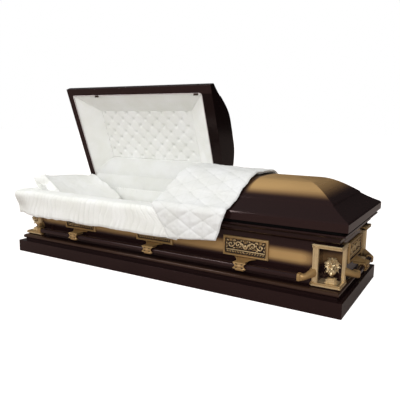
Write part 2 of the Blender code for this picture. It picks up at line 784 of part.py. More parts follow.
def crown_profile():
    """(inset, height) of a lid's skin from the rim's lower edge up to the ridge."""
    crease = LID_BAND_TOP + CREASE_RISE
    upper = (CREASE_INSET + CREASE_RUN, crease + CREASE_STEP)
    slope = [(RIM_ROUND, LID_BAND_TOP + RIM_ROUND / 2)]
    for share in (0.35, 0.7):
        inset = RIM_ROUND + (CREASE_INSET - RIM_ROUND) * share
        slope.append((inset, LID_BAND_TOP + (CREASE_RISE - RIM_ROUND / 2) * share))
    dome_height = LID_BAND_TOP + CROWN_HEIGHT - RIDGE_RISE - upper[1]
    dome = []
    for i in range(6):
        share = i / 5
        inset = upper[0] + (CROWN_END_RUN - upper[0]) * share
        dome.append((inset, upper[1] + dome_height * sin(share * pi / 2)))
    return [
        (0.0, LID_BOTTOM),
        (0.0, LID_BAND_TOP - RIM_ROUND),
        *slope,
        (CREASE_INSET, crease),
        *dome,
        (RIM_Y, LID_BAND_TOP + CROWN_HEIGHT),
    ]


def lid_skin(split, end):
    """Outer skin of a lid from its split end to its hipped end, with the flange under its rim."""
    inward = 1 if end < split else -1
    rings = []
    for inset, z in [(LID_FLANGE, LID_BOTTOM), *crown_profile()]:
        x = end + inward * min(inset, CROWN_END_RUN)
        y = RIM_Y - inset
        rings.append(level([(split, -y), (x, -y), (x, y), (split, y)], z))
    polygons = []
    for low, high in zip(rings, rings[1:]):
        polygons += [(low[i], low[i + 1], high[i + 1], high[i]) for i in range(3)]
    return mesh_from(polygons)


def header_solid(split, end):
    """Arched plate that closes a lid's split end, with a flange along its lower edge."""
    inward = 1 if end > split else -1
    low = LID_BOTTOM + SHEET + GAP
    inside = offset_line(crown_profile(), SHEET + 2 * GAP)
    half = [(-(RIM_Y - inside[0][0]), low)] + [(-(RIM_Y - s), z) for s, z in inside[1:-1]]
    arch = half + [(0.0, inside[-1][1])] + [(-y, z) for y, z in half[::-1]]
    plate = loft([[(x, y, z) for y, z in arch] for x in (split, split + inward * SHEET)])
    edge = -half[0][0]
    x0, x1 = sorted((split, split + inward * HEADER_FLANGE))
    return combine(plate, [block(x0, x1, -edge, edge, low, low + SHEET)])


def hinge_leaf(lifted):
    """Hinge leaf on the axis: the body's with its two knuckles, or the lid's, lifted, with one."""
    y1 = HINGE_Y - LEAF_FROM_AXIS
    y0 = y1 - LEAF_DEPTH
    z0 = LID_BOTTOM - GAP - LEAF_THICKNESS if lifted else BODY_HEIGHT + GAP
    z1 = z0 + LEAF_THICKNESS
    plate = block(-HINGE_WIDTH / 2, HINGE_WIDTH / 2, y0, y1, z0, z1)
    near = KNUCKLE_WIDTH / 2
    spans = [(-near, near)] if lifted else [
        (-HINGE_WIDTH / 2, -near - GAP), (near + GAP, HINGE_WIDTH / 2)
    ]
    start, end = (-150, 100) if lifted else (-100, 150)
    turn = arc((HINGE_Y, HINGE_Z), (KNUCKLE_RADIUS, KNUCKLE_RADIUS), start, end, 7)
    web = [(y1 - LEAF_THICKNESS, z1), (y1 - LEAF_THICKNESS, z0)]
    knuckles = [loft([[(x, y, z) for y, z in web + turn] for x in span]) for span in spans]
    return combine(plate, knuckles)


def build_lid(name, split, end, axis):
    """Shell and header of a lid, with two hinges between it and the body."""
    add_part(f"{name}_shell", lid_skin(split, end), "brown_paint", axis, sheet=SHEET)
    add_part(f"{name}_header", header_solid(split, end), "brown_paint", axis)
    inward = 1 if end > split else -1
    places = (split + inward * HINGE_FROM_END, end - inward * HINGE_FROM_END)
    for number, x in enumerate(places, 1):
        place = Matrix.Translation((x, 0, 0))
        tag = f"{name.split('_')[0]}_{number}"
        add_part(f"hinge_body_leaf_{tag}", transformed(hinge_leaf(False), place), "steel")
        add_part(f"hinge_lid_leaf_{tag}", transformed(hinge_leaf(True), place), "steel", axis)


def build_head_lid_interior(axis):
    """Sloping border, tufted panel, apron and catches of the head lid, modelled closed."""
    opening = [
        -(RIM_X - LID_FLANGE), HEAD_SPLIT - HEADER_FLANGE, -(RIM_Y - LID_FLANGE), RIM_Y - LID_FLANGE
    ]
    runs = [BORDER_HEAD_RUN, -BORDER_SPLIT_RUN, BORDER_FRONT_RUN, -BORDER_BACK_RUN]
    laps = [-1, 1, -1, 1]
    outer = rectangle(*[o + lap * BORDER_LAP for o, lap in zip(opening, laps)])
    window = [o + run for o, run in zip(opening, runs)]
    inner = rectangle(*window)
    low = LID_BOTTOM + 2 * SHEET + 2 * GAP
    deep = LID_BOTTOM + PANEL_DEPTH
    border = loft([
        level(outer, low),
        level(inner, deep),
        level(inner, deep + BORDER_THICKNESS),
        level(outer, low + BORDER_THICKNESS),
    ], loop=True)
    add_part("head_lid_lining", border, "cloth", axis)

    panel_low = deep + BORDER_THICKNESS + GAP
    panel_box = [w + lap * PANEL_LAP for w, lap in zip(window, laps)]
    panel = soft_block(*panel_box, panel_low, panel_low + PANEL_THICKNESS, PANEL_ROUND)
    add_part("head_lid_panel", panel, "cloth", axis)

    inner_edge, outer_edge = Vector((window[3], deep)), Vector((opening[3] + BORDER_LAP, low))
    slope = outer_edge - inner_edge
    out = Vector((slope.y, -slope.x)).normalized()
    section = []
    for share, bulge in APRON_SHARES:
        section.append(inner_edge + slope * share + out * (2 * GAP + APRON_BULGE * bulge))
    rings = []
    for x_inner, x_outer, inward in (
        (window[0], opening[0] - BORDER_LAP, 1), (window[1], opening[1] + BORDER_LAP, -1)
    ):
        ring = []
        for y, z in section:
            share = min((deep - z) / (deep - low), 1)
            x = x_inner + (x_outer - x_inner) * share + inward * APRON_END_GAP
            ring.append((x, y, z))
        rings.append(ring)
    add_part("head_lid_apron", loft(rings), "cloth", axis)

    edge = -(RIM_Y - LID_FLANGE) - CATCH_LAP
    top = LID_BOTTOM - GAP
    tip = edge + CATCH_LAP + CATCH_REACH
    for number, x in enumerate((-RIM_X + CATCH_FROM_HEAD, HEAD_SPLIT - CATCH_FROM_SPLIT), 1):
        x0, x1 = x - CATCH_WIDTH / 2, x + CATCH_WIDTH / 2
        plate = block(x0, x1, edge, tip, top - CATCH_THICKNESS, top)
        hook = block(x0, x1, tip - CATCH_HOOK, tip, top - CATCH_DROP, top - CATCH_THICKNESS / 2)
        add_part(f"head_lid_catch_{number}", combine(plate, [hook]), "steel", axis)


def build_throw(axis):
    """Quilted cloth laid over the foot lid from its back rim down past its front rim."""
    middle = THROW_LIFT + THROW_THICKNESS / 2
    cover = [p for p in offset_line(crown_profile(), -middle) if p[1] > LID_BAND_TOP + middle / 2]
    line = [(RIM_Y - s, z) for s, z in cover[:-1]] + [(0.0, cover[-1][1])]
    line += [(-(RIM_Y - s), z) for s, z in cover[-2::-1]]
    over_edge = len(line)
    out = RIM_Y + THROW_OUT
    line += [
        (-(RIM_Y + THROW_OUT * 0.60), LID_BAND_TOP + middle),
        (-out, LID_BAND_TOP - RIM_BAND / 3),
        (-out - GAP, (LID_BOTTOM + THROW_BOTTOM) / 2),
        (-out - 2 * GAP, THROW_BOTTOM),
    ]
    upper = offset_line(line, -THROW_THICKNESS / 2)
    lower = offset_line(line, THROW_THICKNESS / 2)
    start, finish = FOOT_SPLIT + GAP, FOOT_SPLIT + THROW_LENGTH
    rings = []
    for i, (y, z) in enumerate(line):
        slide = min(max(0.0, -y) / RIM_Y, 1)
        drop = max(0.0, (LID_BAND_TOP - z) / (LID_BAND_TOP - THROW_BOTTOM)) if i >= over_edge else 0.0
        x0 = start - THROW_OVERHANG * slide + THROW_HEAD_TAPER * drop
        x1 = finish - THROW_FOOT_SLIDE * slide - THROW_FOOT_TAPER * drop
        (y_upper, z_upper), (y_lower, z_lower) = upper[i], lower[i]
        rise = THROW_HEM_RISE * drop
        rings.append([
            (x0, y_upper, z_upper), (x1, y_upper, z_upper + rise),
            (x1, y_lower, z_lower + rise), (x0, y_lower, z_lower),
        ])
    add_part("throw", loft(rings), "quilt", axis)


# Soft interior of the body


def build_interior():
    margin = LINING_THICKNESS + MATTRESS_MARGIN
    x, y = LINING_X - margin, LINING_Y - margin
    mattress = soft_block(-x, x, -y, y, SHEET + GAP, MATTRESS_TOP, MATTRESS_ROUND)
    add_part("mattress", mattress, "cloth")

    top_x, top_y = RIM_X - OPENING_INSET - GAP, RIM_Y - OPENING_INSET - GAP
    top = BODY_HEIGHT - SHEET - GAP
    walls = [(LINING_X, LINING_Y, BODY_HEIGHT - LINING_DEPTH), (LINING_X, LINING_Y, FLARE_BOTTOM),
             (top_x, top_y, top)]
    outside = [level(rectangle(-a, a, -b, b), z) for a, b, z in walls]
    thick = LINING_THICKNESS
    inside = [
        level(rectangle(-a + thick, a - thick, -b + thick, b - thick), z) for a, b, z in walls[::-1]
    ]
    add_part("body_lining", loft(outside + inside, loop=True), "cloth")

    roll_top = LID_BOTTOM + EXTENDOVER_THICKNESS / 2 + 2 * GAP
    line = [
        (-EXTENDOVER_IN, EXTENDOVER_INNER_BOTTOM),
        (-EXTENDOVER_IN, roll_top - EXTENDOVER_THICKNESS),
        (-EXTENDOVER_IN + EXTENDOVER_THICKNESS, roll_top),
        (EXTENDOVER_OUT - EXTENDOVER_THICKNESS, roll_top),
        (EXTENDOVER_OUT, roll_top - EXTENDOVER_THICKNESS),
        (EXTENDOVER_OUT, EXTENDOVER_BOTTOM),
    ]
    path = [(-RIM_X, EXTENDOVER_BACK), (-RIM_X, -RIM_Y), (SPLIT_X - EXTENDOVER_FROM_SPLIT, -RIM_Y)]
    add_part("extendover", sweep(ribbon(line, EXTENDOVER_THICKNESS), path), "cloth")
    add_part("pillow", pillow_solid(), "cloth")


def pillow_solid():
    """Cushion that thins towards its edges and leans on the head end."""
    rows = []
    for i in range(PILLOW_STEPS + 1):
        u = -cos(pi * i / PILLOW_STEPS)
        rows.append([(u, -cos(pi * j / PILLOW_STEPS)) for j in range(PILLOW_STEPS + 1)])
    lean = Matrix.Rotation(PILLOW_TILT, 4, "Y")

    def point(u, v, side):
        swell = ((1 - u ** 4) * (1 - v ** 4)) ** 0.5
        height = side * swell * PILLOW_THICKNESS / 2
        return lean @ Vector((u * PILLOW_LENGTH / 2, v * PILLOW_WIDTH / 2, height))

    polygons = []
    for side in (-1, 1):
        for low, high in zip(rows, rows[1:]):
            for j in range(PILLOW_STEPS):
                corners = (low[j], low[j + 1], high[j + 1], high[j])
                polygons.append([point(u, v, side) for u, v in corners])
    lowest = min(corner.z for polygon in polygons for corner in polygon)
    seat = Vector((-RIM_X + PILLOW_FROM_END, 0, MATTRESS_TOP + GAP - lowest))
    return mesh_from([[tuple(corner + seat) for corner in polygon] for polygon in polygons])


clear_scene()
build_body()
build_corners()
build_handles()
build_interior()
head_lid_axis = add_axis("head_lid_axis", HEAD_LID_OPEN)
foot_lid_axis = add_axis("foot_lid_axis", 0.0)
build_lid("head_lid", HEAD_SPLIT, -RIM_X, head_lid_axis)
build_head_lid_interior(head_lid_axis)
build_lid("foot_lid", FOOT_SPLIT, RIM_X, foot_lid_axis)
build_throw(foot_lid_axis)
bpy.context.view_layer.update()
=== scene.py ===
"""Looks of the half-couch metal casket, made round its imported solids.

Metres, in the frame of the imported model: +X to the foot end, +Y to the hinge side, +Z up. Pieces of
the head lid are modelled with the lid closed and then turned open about the hinge axis.
"""
from math import cos, pi, radians, sin

import bmesh
import bpy
import numpy as np
from mathutils import Matrix, Vector


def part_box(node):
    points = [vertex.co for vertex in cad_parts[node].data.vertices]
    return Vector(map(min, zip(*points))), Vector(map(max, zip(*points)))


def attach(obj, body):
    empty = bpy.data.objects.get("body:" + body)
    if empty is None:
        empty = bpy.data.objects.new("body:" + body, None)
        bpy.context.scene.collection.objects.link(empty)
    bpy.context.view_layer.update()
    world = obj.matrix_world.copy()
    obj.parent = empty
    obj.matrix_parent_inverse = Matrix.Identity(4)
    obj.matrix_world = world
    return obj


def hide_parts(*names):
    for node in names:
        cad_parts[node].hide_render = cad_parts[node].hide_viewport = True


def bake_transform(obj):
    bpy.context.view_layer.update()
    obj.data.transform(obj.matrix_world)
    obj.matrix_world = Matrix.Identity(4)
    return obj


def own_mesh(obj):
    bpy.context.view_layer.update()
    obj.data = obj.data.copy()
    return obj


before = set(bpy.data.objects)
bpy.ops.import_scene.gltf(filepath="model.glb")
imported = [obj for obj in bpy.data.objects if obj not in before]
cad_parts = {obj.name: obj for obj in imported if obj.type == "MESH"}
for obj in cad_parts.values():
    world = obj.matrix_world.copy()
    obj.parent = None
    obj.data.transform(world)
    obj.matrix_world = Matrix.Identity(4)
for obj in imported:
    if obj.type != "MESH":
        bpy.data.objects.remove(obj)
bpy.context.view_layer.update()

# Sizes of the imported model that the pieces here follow
GAP = 0.0003
SHEET = 0.0012
RIM_X, RIM_Y = 1.075, 0.365
WAIST_X, WAIST_Y = 1.022, 0.290
NICHE_X, NICHE_Y = 0.930, 0.219
NICHE_BOTTOM, NICHE_TOP = 0.120, 0.300
BODY_HEIGHT = 0.378
BASE_X, BASE_Y, BASE_HEIGHT, BASE_HEM = 1.065, 0.355, 0.073, 0.015
FOOT_INSET, WAIST_INSET, CORNICE_INSET = 0.043, 0.075, 0.013
TORUS_MIDDLE, TORUS_RADIUS = 0.098, 0.0125
FLARE_TOP, FLARE_REACH, FLARE_HEIGHT = 0.314, 0.029, 0.020
COVE_BOTTOM, COVE_REACH, COVE_HEIGHT = 0.339, 0.028, 0.031
FLANGE_INSET = 0.063
LID_BOTTOM, BAND_TOP, CROWN_HEIGHT = 0.396, 0.437, 0.145
CREASE_INSET, CREASE_RISE, CREASE_STEP, CREASE_RUN = 0.095, 0.054, 0.008, 0.004
CROWN_END_RUN = 0.290
LID_FLANGE, HEADER_FLANGE = 0.052, 0.075
HEAD_SPLIT, FOOT_SPLIT = 0.1115, 0.1145
HINGE = Vector((0.0, 0.363, 0.390))
LID_OPEN = radians(70)
OPENED = Matrix.Translation(HINGE) @ Matrix.Rotation(-LID_OPEN, 4, "X") @ Matrix.Translation(-HINGE)
FRAME_X, FRAME_Y = 0.905, 0.194
FRAME_LOW, SHELF_TOP = 0.1168, 0.133
BAR_OUT, BAR_Z, BAR_SIZE = 0.052, 0.160, 0.029
BAR_SIDE_START, BAR_END_START = 0.853, 0.142
LUG_Z, LUG_W, LUG_H, LUG_T = 0.245, 0.248, 0.102, 0.011
LUG_STEP = 0.561
MATTRESS_X, MATTRESS_Y, MATTRESS_TOP = 0.9085, 0.2685, 0.262
PILLOW_TILT, PILLOW_WIDE, PILLOW_LONG, PILLOW_THICK = radians(31), 0.545, 0.350, 0.110
LINING_X, LINING_Y, LINING_TOP_X, LINING_TOP_Y = 0.9285, 0.2885, 1.0117, 0.3017
ROLL_THICK, HEM_LOW, THROW_LENGTH, THROW_LIFT = 0.016, 0.262, 0.425, 0.016
CORNERS = {
    "front_foot": (1, -1), "back_foot": (1, 1), "back_head": (-1, 1), "front_head": (-1, -1),
}


# Meshes


def noise(x, y, seed=0):
    """Smooth noise between -1 and 1 over a plane, one cell a unit."""
    table = np.random.default_rng(seed).uniform(-1, 1, (97, 97))
    x, y = np.broadcast_arrays(np.asarray(x, float), np.asarray(y, float))
    i, j = np.floor(x).astype(int), np.floor(y).astype(int)
    u, v = x - i, y - j
    u, v = u * u * (3 - 2 * u), v * v * (3 - 2 * v)

    def at(a, b):
        return table[a % 97, b % 97]

    low = at(i, j) * (1 - u) + at(i + 1, j) * u
    high = at(i, j + 1) * (1 - u) + at(i + 1, j + 1) * u
    return low * (1 - v) + high * v


def smoothstep(a, b, x):
    """Smooth change from 0 at a to 1 at b."""
    t = np.clip((np.asarray(x, float) - a) / (b - a), 0, 1)
    return t * t * (3 - 2 * t)


def finish_mesh(name, mesh, material, angle=40, turn=None):
    """Object of a mesh, with its faces pointing out and smooth up to an angle."""
    if turn is not None:
        mesh.transform(turn)
    work = bmesh.new()
    work.from_mesh(mesh)
    bmesh.ops.remove_doubles(work, verts=work.verts, dist=0.000005)
    bmesh.ops.recalc_face_normals(work, faces=work.faces)
    work.to_mesh(mesh)
    work.free()
    mesh.materials.append(material)
    mesh.shade_smooth()
    mesh.set_sharp_from_angle(angle=radians(angle))
    piece = bpy.data.objects.new(name, mesh)
    bpy.context.scene.collection.objects.link(piece)
    return piece


def new_mesh(vertices, faces):
    """Mesh of vertices and faces."""
    mesh = bpy.data.meshes.new("mesh")
    mesh.from_pydata([tuple(map(float, v)) for v in vertices], [], [tuple(map(int, f)) for f in faces])
    return mesh


def polygon_mesh(polygons):
    """Mesh of polygons given by their corners, with equal corners made one vertex."""
    index, corners, faces = {}, [], []
    for polygon in polygons:
        face = []
        for corner in polygon:
            key = tuple(round(c, 6) for c in corner)
            if key not in index:
                index[key] = len(corners)
                corners.append(key)
            if index[key] not in face:
                face.append(index[key])
        if len(face) > 2:
            faces.append(face)
    return new_mesh(corners, faces)


def grid_faces(rows, columns, start=0, wrap_rows=False, wrap_columns=False):
    """Faces of a grid of vertices that is stored row by row."""
    i = np.arange(rows if wrap_rows else rows - 1)
    j = np.arange(columns if wrap_columns else columns - 1)
    i, j = [a.ravel() for a in np.meshgrid(i, j, indexing="ij")]
    i2, j2 = (i + 1) % rows, (j + 1) % columns
    faces = np.stack([i * columns + j, i * columns + j2, i2 * columns + j2, i2 * columns + j], 1)
    return (faces + start).tolist()


def grid_rim(rows, columns):
    """Vertices round the edge of a grid that is stored row by row."""
    edge = [(0, j) for j in range(columns)] + [(i, columns - 1) for i in range(1, rows)]
    edge += [(rows - 1, j) for j in range(columns - 2, -1, -1)] + [(i, 0) for i in range(rows - 2, 0, -1)]
    return [i * columns + j for i, j in edge]


def grid_normals(points):
    """Unit normal at each point of a grid of rows and columns."""
    along = np.gradient(points, axis=0)
    across = np.gradient(points, axis=1)
    normal = np.cross(along, across)
    return normal / np.maximum(np.linalg.norm(normal, axis=2, keepdims=True), 1e-12)


def slab_mesh(points, thickness):
    """Closed mesh of a grid of points and the same grid set back by a thickness."""
    rows, columns = points.shape[:2]
    if np.isscalar(thickness):
        thickness = np.full((rows, columns), thickness)
    back = points - grid_normals(points) * thickness[..., None]
    vertices = np.concatenate([points.reshape(-1, 3), back.reshape(-1, 3)])
    count = rows * columns
    faces = grid_faces(rows, columns)
    faces += [[a + count for a in face[::-1]] for face in grid_faces(rows, columns)]
    rim = grid_rim(rows, columns)
    for a, b in zip(rim, rim[1:] + rim[:1]):
        faces.append([a, b, b + count, a + count])
    return new_mesh(vertices, faces)


def line_normals(path):
    """Unit vectors to the right of each point of a smooth 2-D line."""
    tangent = np.gradient(path, axis=0)
    tangent /= np.linalg.norm(tangent, axis=1, keepdims=True)
    return np.stack([tangent[:, 1], -tangent[:, 0]], 1)


def raised(points, height, at, axis, sign):
    """Points moved along their normals, and the sign that sets a slab's back behind them.

    The normals are turned so that the one at a grid place has the wanted sign on an axis.
    """
    normal = grid_normals(points)
    if normal[at][axis] * sign < 0:
        normal = -normal
    points = points + normal * height[..., None]
    return points, 1 if np.dot(grid_normals(points)[at], normal[at]) > 0 else -1


def ring_mesh(rings, closed=False):
    """Mesh through rings of equal length, with its ends capped or joined."""
    rings = [np.asarray(r, float) for r in rings]
    rows, columns = len(rings), len(rings[0])
    faces = grid_faces(rows, columns, wrap_rows=closed, wrap_columns=True)
    if not closed:
        faces += [list(range(columns)), list(range((rows - 1) * columns, rows * columns))]
    return new_mesh(np.concatenate(rings), faces)


def corner_vectors(line, closed=False):
    """Mitre vector to the right-hand side at each point of a 2-D line."""
    count, vectors = len(line), []
    for i in range(count):
        normals = []
        for a, b in ((i - 1, i), (i, i + 1)):
            if closed or (a >= 0 and b < count):
                step = (Vector(line[b % count]) - Vector(line[a])).normalized()
                normals.append(Vector((step.y, -step.x)))
        if len(normals) == 2:
            vectors.append((normals[0] + normals[1]) / (1 + normals[0].dot(normals[1])))
        else:
            vectors.append(normals[0])
    return vectors


def sweep_rings(section, path, closed=False):
    """Rings of a section of (outward, height) points carried along an anticlockwise plan path."""
    return [
        [(p[0] + out.x * d, p[1] + out.y * d, z) for d, z in section]
        for p, out in zip(path, corner_vectors(path, closed))
    ]


def arc(middle, radii, start, end, steps):
    """Points of an elliptical 2-D arc, with its angles in degrees."""
    angles = np.radians(np.linspace(start, end, steps + 1))
    return [(middle[0] + radii[0] * cos(a), middle[1] + radii[1] * sin(a)) for a in angles]


def rectangle(x0, x1, y0, y1):
    """Corners of a rectangle, anticlockwise."""
    return [(x0, y0), (x1, y0), (x1, y1), (x0, y1)]


def level(plan, z):
    """Plan points put at a height."""
    return [(x, y, z) for x, y in plan]


def rounded(piece, width, segments, angle):
    """Round a piece's edges that are sharper than an angle."""
    bevel = piece.modifiers.new("rounding", "BEVEL")
    bevel.width = width
    bevel.segments = segments
    bevel.limit_method = "ANGLE"
    bevel.angle_limit = radians(angle)
    bevel.harden_normals = True
    return piece


def thickened(piece, thickness):
    """Give an open skin its sheet's thickness, inwards."""
    solid = piece.modifiers.new("sheet", "SOLIDIFY")
    solid.thickness = thickness
    solid.offset = -1
    solid.use_even_offset = True
    return piece


def joined(name, meshes, material, angle=40, turn=None):
    """One object of several meshes."""
    vertices, faces = [], []
    for mesh in meshes:
        start = len(vertices)
        vertices += [v.co[:] for v in mesh.vertices]
        faces += [[start + k for k in p.vertices] for p in mesh.polygons]
    return finish_mesh(name, new_mesh(vertices, faces), material, angle, turn)


def moved(mesh, matrix):
    """Copy of a mesh, moved."""
    copy = mesh.copy()
    copy.transform(matrix)
    return copy


def store(mesh, name, values):
    """Keep a number for each vertex under a name that a material can read."""
    layer = mesh.attributes.new(name, "FLOAT", "POINT")
    layer.data.foreach_set("value", np.asarray(values, np.float32).ravel())


def bevelled(mesh, width, segments, angle):
    """Mesh with its sharp edges rounded."""
    piece = bpy.data.objects.new("bevel_work", mesh)
    bpy.context.scene.collection.objects.link(piece)
    rounded(piece, width, segments, angle)
    result = bpy.data.meshes.new_from_object(piece.evaluated_get(bpy.context.evaluated_depsgraph_get()))
    bpy.data.objects.remove(piece)
    return result


def store_relief(mesh, reach, rounds=3, level_ground=0.5):
    """Keep how far each vertex stands out of its neighbours: 0 in a recess and 1 on a ridge."""
    count = len(mesh.vertices)
    places = np.zeros(count * 3)
    mesh.vertices.foreach_get("co", places)
    places = places.reshape(-1, 3)
    normals = np.zeros(count * 3)
    mesh.vertices.foreach_get("normal", normals)
    normals = normals.reshape(-1, 3)
    edges = np.zeros(len(mesh.edges) * 2, int)
    mesh.edges.foreach_get("vertices", edges)
    a, b = edges.reshape(-1, 2).T
    degree = np.maximum(np.bincount(np.concatenate([a, b]), minlength=count), 1)[:, None]
    smooth = places.copy()
    for _ in range(rounds):
        total = np.zeros_like(smooth)
        np.add.at(total, a, smooth[b])
        np.add.at(total, b, smooth[a])
        smooth = total / degree
    out = ((places - smooth) * normals).sum(1)
    store(mesh, "relief", level_ground + 0.5 * np.clip(out / reach, -1, 1))


# Materials


def material(name, colour, roughness, metallic=0.0, **settings):
    """Principled material with its even values on the shader's own sockets."""
    made = bpy.data.materials.new(name)
    made.use_nodes = True
    shader = made.node_tree.nodes["Principled BSDF"]
    shader.inputs["Base Color"].default_value = (*colour, 1.0)
    shader.inputs["Roughness"].default_value = roughness
    shader.inputs["Metallic"].default_value = metallic
    for key, value in settings.items():
        shader.inputs[key.replace("_", " ")].default_value = value
    return made


class Nodes:
    """Short way to add and link nodes in a material or a world."""

    def __init__(self, made, shader="Principled BSDF"):
        self.tree = made.node_tree
        self.shader = self.tree.nodes[shader]

    def add(self, kind, inputs=None, **settings):
        node = self.tree.nodes.new(kind)
        for key, value in settings.items():
            setattr(node, key, value)
        for key, value in (inputs or {}).items():
            self.put(value, node.inputs[key])
        return node

    def put(self, value, socket):
        if isinstance(value, bpy.types.NodeSocket):
            self.tree.links.new(value, socket)
        else:
            socket.default_value = value

    def shade(self, name, value):
        self.put(value, self.shader.inputs[name])

    def place(self, turned=False):
        """Object coordinates, or those of the closed head lid."""
        out = self.add("ShaderNodeTexCoord").outputs["Object"]
        if not turned:
            return out
        shift = self.add("ShaderNodeVectorMath", {0: out, 1: tuple(HINGE)}, operation="SUBTRACT")
        turn = self.add(
            "ShaderNodeVectorRotate", {"Vector": shift.outputs[0], "Angle": LID_OPEN},
            rotation_type="X_AXIS",
        )
        back = self.add("ShaderNodeVectorMath", {0: turn.outputs[0], 1: tuple(HINGE)}, operation="ADD")
        return back.outputs[0]

    def axes(self, vector):
        return self.add("ShaderNodeSeparateXYZ", {0: vector}).outputs

    def math(self, operation, a, b=0.0):
        return self.add("ShaderNodeMath", {0: a, 1: b}, operation=operation).outputs[0]

    def times(self, a, b):
        return self.math("MULTIPLY", a, b)

    def plus(self, a, b):
        return self.math("ADD", a, b)

    def minus(self, a, b):
        return self.math("SUBTRACT", a, b)

    def step(self, value, low, high):
        """0 below low and 1 above high, with a smooth change between them."""
        node = self.add(
            "ShaderNodeMapRange",
            {"Value": value, "From Min": low, "From Max": high, "To Min": 0.0, "To Max": 1.0},
            interpolation_type="SMOOTHSTEP",
        )
        return node.outputs["Result"]

    def ranged(self, value, low, high, start, end):
        node = self.add(
            "ShaderNodeMapRange",
            {"Value": value, "From Min": low, "From Max": high, "To Min": start, "To Max": end},
        )
        return node.outputs["Result"]

    def noise(self, vector, scale, detail=3.0, roughness=0.5):
        node = self.add(
            "ShaderNodeTexNoise",
            {"Vector": vector, "Scale": scale, "Detail": detail, "Roughness": roughness},
        )
        return node.outputs["Fac"]

    def mix(self, share, a, b):
        node = self.add("ShaderNodeMix", data_type="RGBA")
        self.put(share, node.inputs[0])
        self.put(a if isinstance(a, bpy.types.NodeSocket) else (*a, 1.0), node.inputs[6])
        self.put(b if isinstance(b, bpy.types.NodeSocket) else (*b, 1.0), node.inputs[7])
        return node.outputs[2]

    def bump(self, height, distance, strength=1.0, normal=None):
        node = self.add(
            "ShaderNodeBump", {"Height": height, "Distance": distance, "Strength": strength}
        )
        if normal:
            self.put(normal, node.inputs["Normal"])
        return node.outputs["Normal"]


BROWN = (0.0146, 0.0064, 0.0062)
BROWN_SHADE = (0.056, 0.023, 0.014)
GOLD = (0.54, 0.335, 0.135)
BROWN_SHEEN = (1.0, 0.76, 0.73, 1.0)


def glossy_brown(name, depth=1.0, gloss=0.40):
    """Glossy brown paint, slightly uneven in its tone and surface."""
    made = material(name, BROWN, 0.13, Specular_IOR_Level=gloss, Specular_Tint=BROWN_SHEEN)
    nodes = Nodes(made)
    place = nodes.place()
    cloud = nodes.noise(place, 5.0, 4.0)
    tones = [tuple(c * depth * share for c in BROWN) for share in (0.82, 1.0)]
    nodes.shade("Base Color", nodes.mix(nodes.step(cloud, 0.3, 0.7), *tones))
    nodes.shade("Normal", nodes.bump(nodes.noise(place, 60.0, 2.0), 0.0002, 0.2))
    return made


def paint(name, gold_share):
    """Glossy brown paint that fades to gold by a share made of nodes."""
    made = material(name, BROWN, 0.13, Specular_IOR_Level=0.40, Specular_Tint=BROWN_SHEEN)
    nodes = Nodes(made)
    share, place = gold_share(nodes)
    grain = nodes.noise(place, 900.0, 2.0)
    cloud = nodes.noise(place, 3.0, 3.0)
    share = nodes.times(share, nodes.ranged(cloud, 0.3, 0.7, 0.93, 1.0))
    share = nodes.plus(share, nodes.times(nodes.minus(grain, 0.5), 0.05))
    share = nodes.math("MINIMUM", nodes.math("MAXIMUM", share, 0.0), 1.0)
    through = nodes.mix(nodes.step(share, 0.0, 0.5), BROWN, BROWN_SHADE)
    colour = nodes.mix(nodes.step(share, 0.05, 1.0), through, GOLD)
    nodes.shade("Base Color", colour)
    nodes.shade("Metallic", nodes.ranged(share, 0.0, 1.0, 0.0, 0.22))
    nodes.shade("Roughness", nodes.ranged(share, 0.0, 1.0, 0.13, 0.36))
    peel = nodes.noise(place, 60.0, 2.0)
    nodes.shade("Normal", nodes.bump(peel, 0.0002, 0.25))
    return made


def body_gold(nodes):
    """Gold round the waist, fading towards the corners, and a painted highlight along the torus."""
    place = nodes.place()
    x, y, z = nodes.axes(place)
    upward = nodes.step(z, 0.186, 0.228)
    downward = nodes.ranged(nodes.step(z, 0.242, 0.292), 0.0, 1.0, 1.0, 0.0)
    share = nodes.times(upward, downward)
    along = nodes.math("ABSOLUTE", x)
    on_end = nodes.step(along, 1.0205, 1.0215)
    side_fade = nodes.ranged(nodes.step(along, 0.84, 0.925), 0.0, 1.0, 0.80, 0.36)
    end_fade = nodes.ranged(nodes.step(nodes.math("ABSOLUTE", y), 0.13, 0.21), 0.0, 1.0, 0.8, 0.35)
    fade = nodes.plus(
        nodes.times(on_end, end_fade),
        nodes.times(nodes.minus(1.0, on_end), side_fade),
    )
    share = nodes.times(share, fade)
    # Painted highlight along the upper part of the torus, as a small share of the lighter brown.
    torus = nodes.times(nodes.step(z, 0.086, 0.101), nodes.step(z, 0.1145, 0.1100))
    share = nodes.plus(share, nodes.times(torus, 0.15))
    return share, place


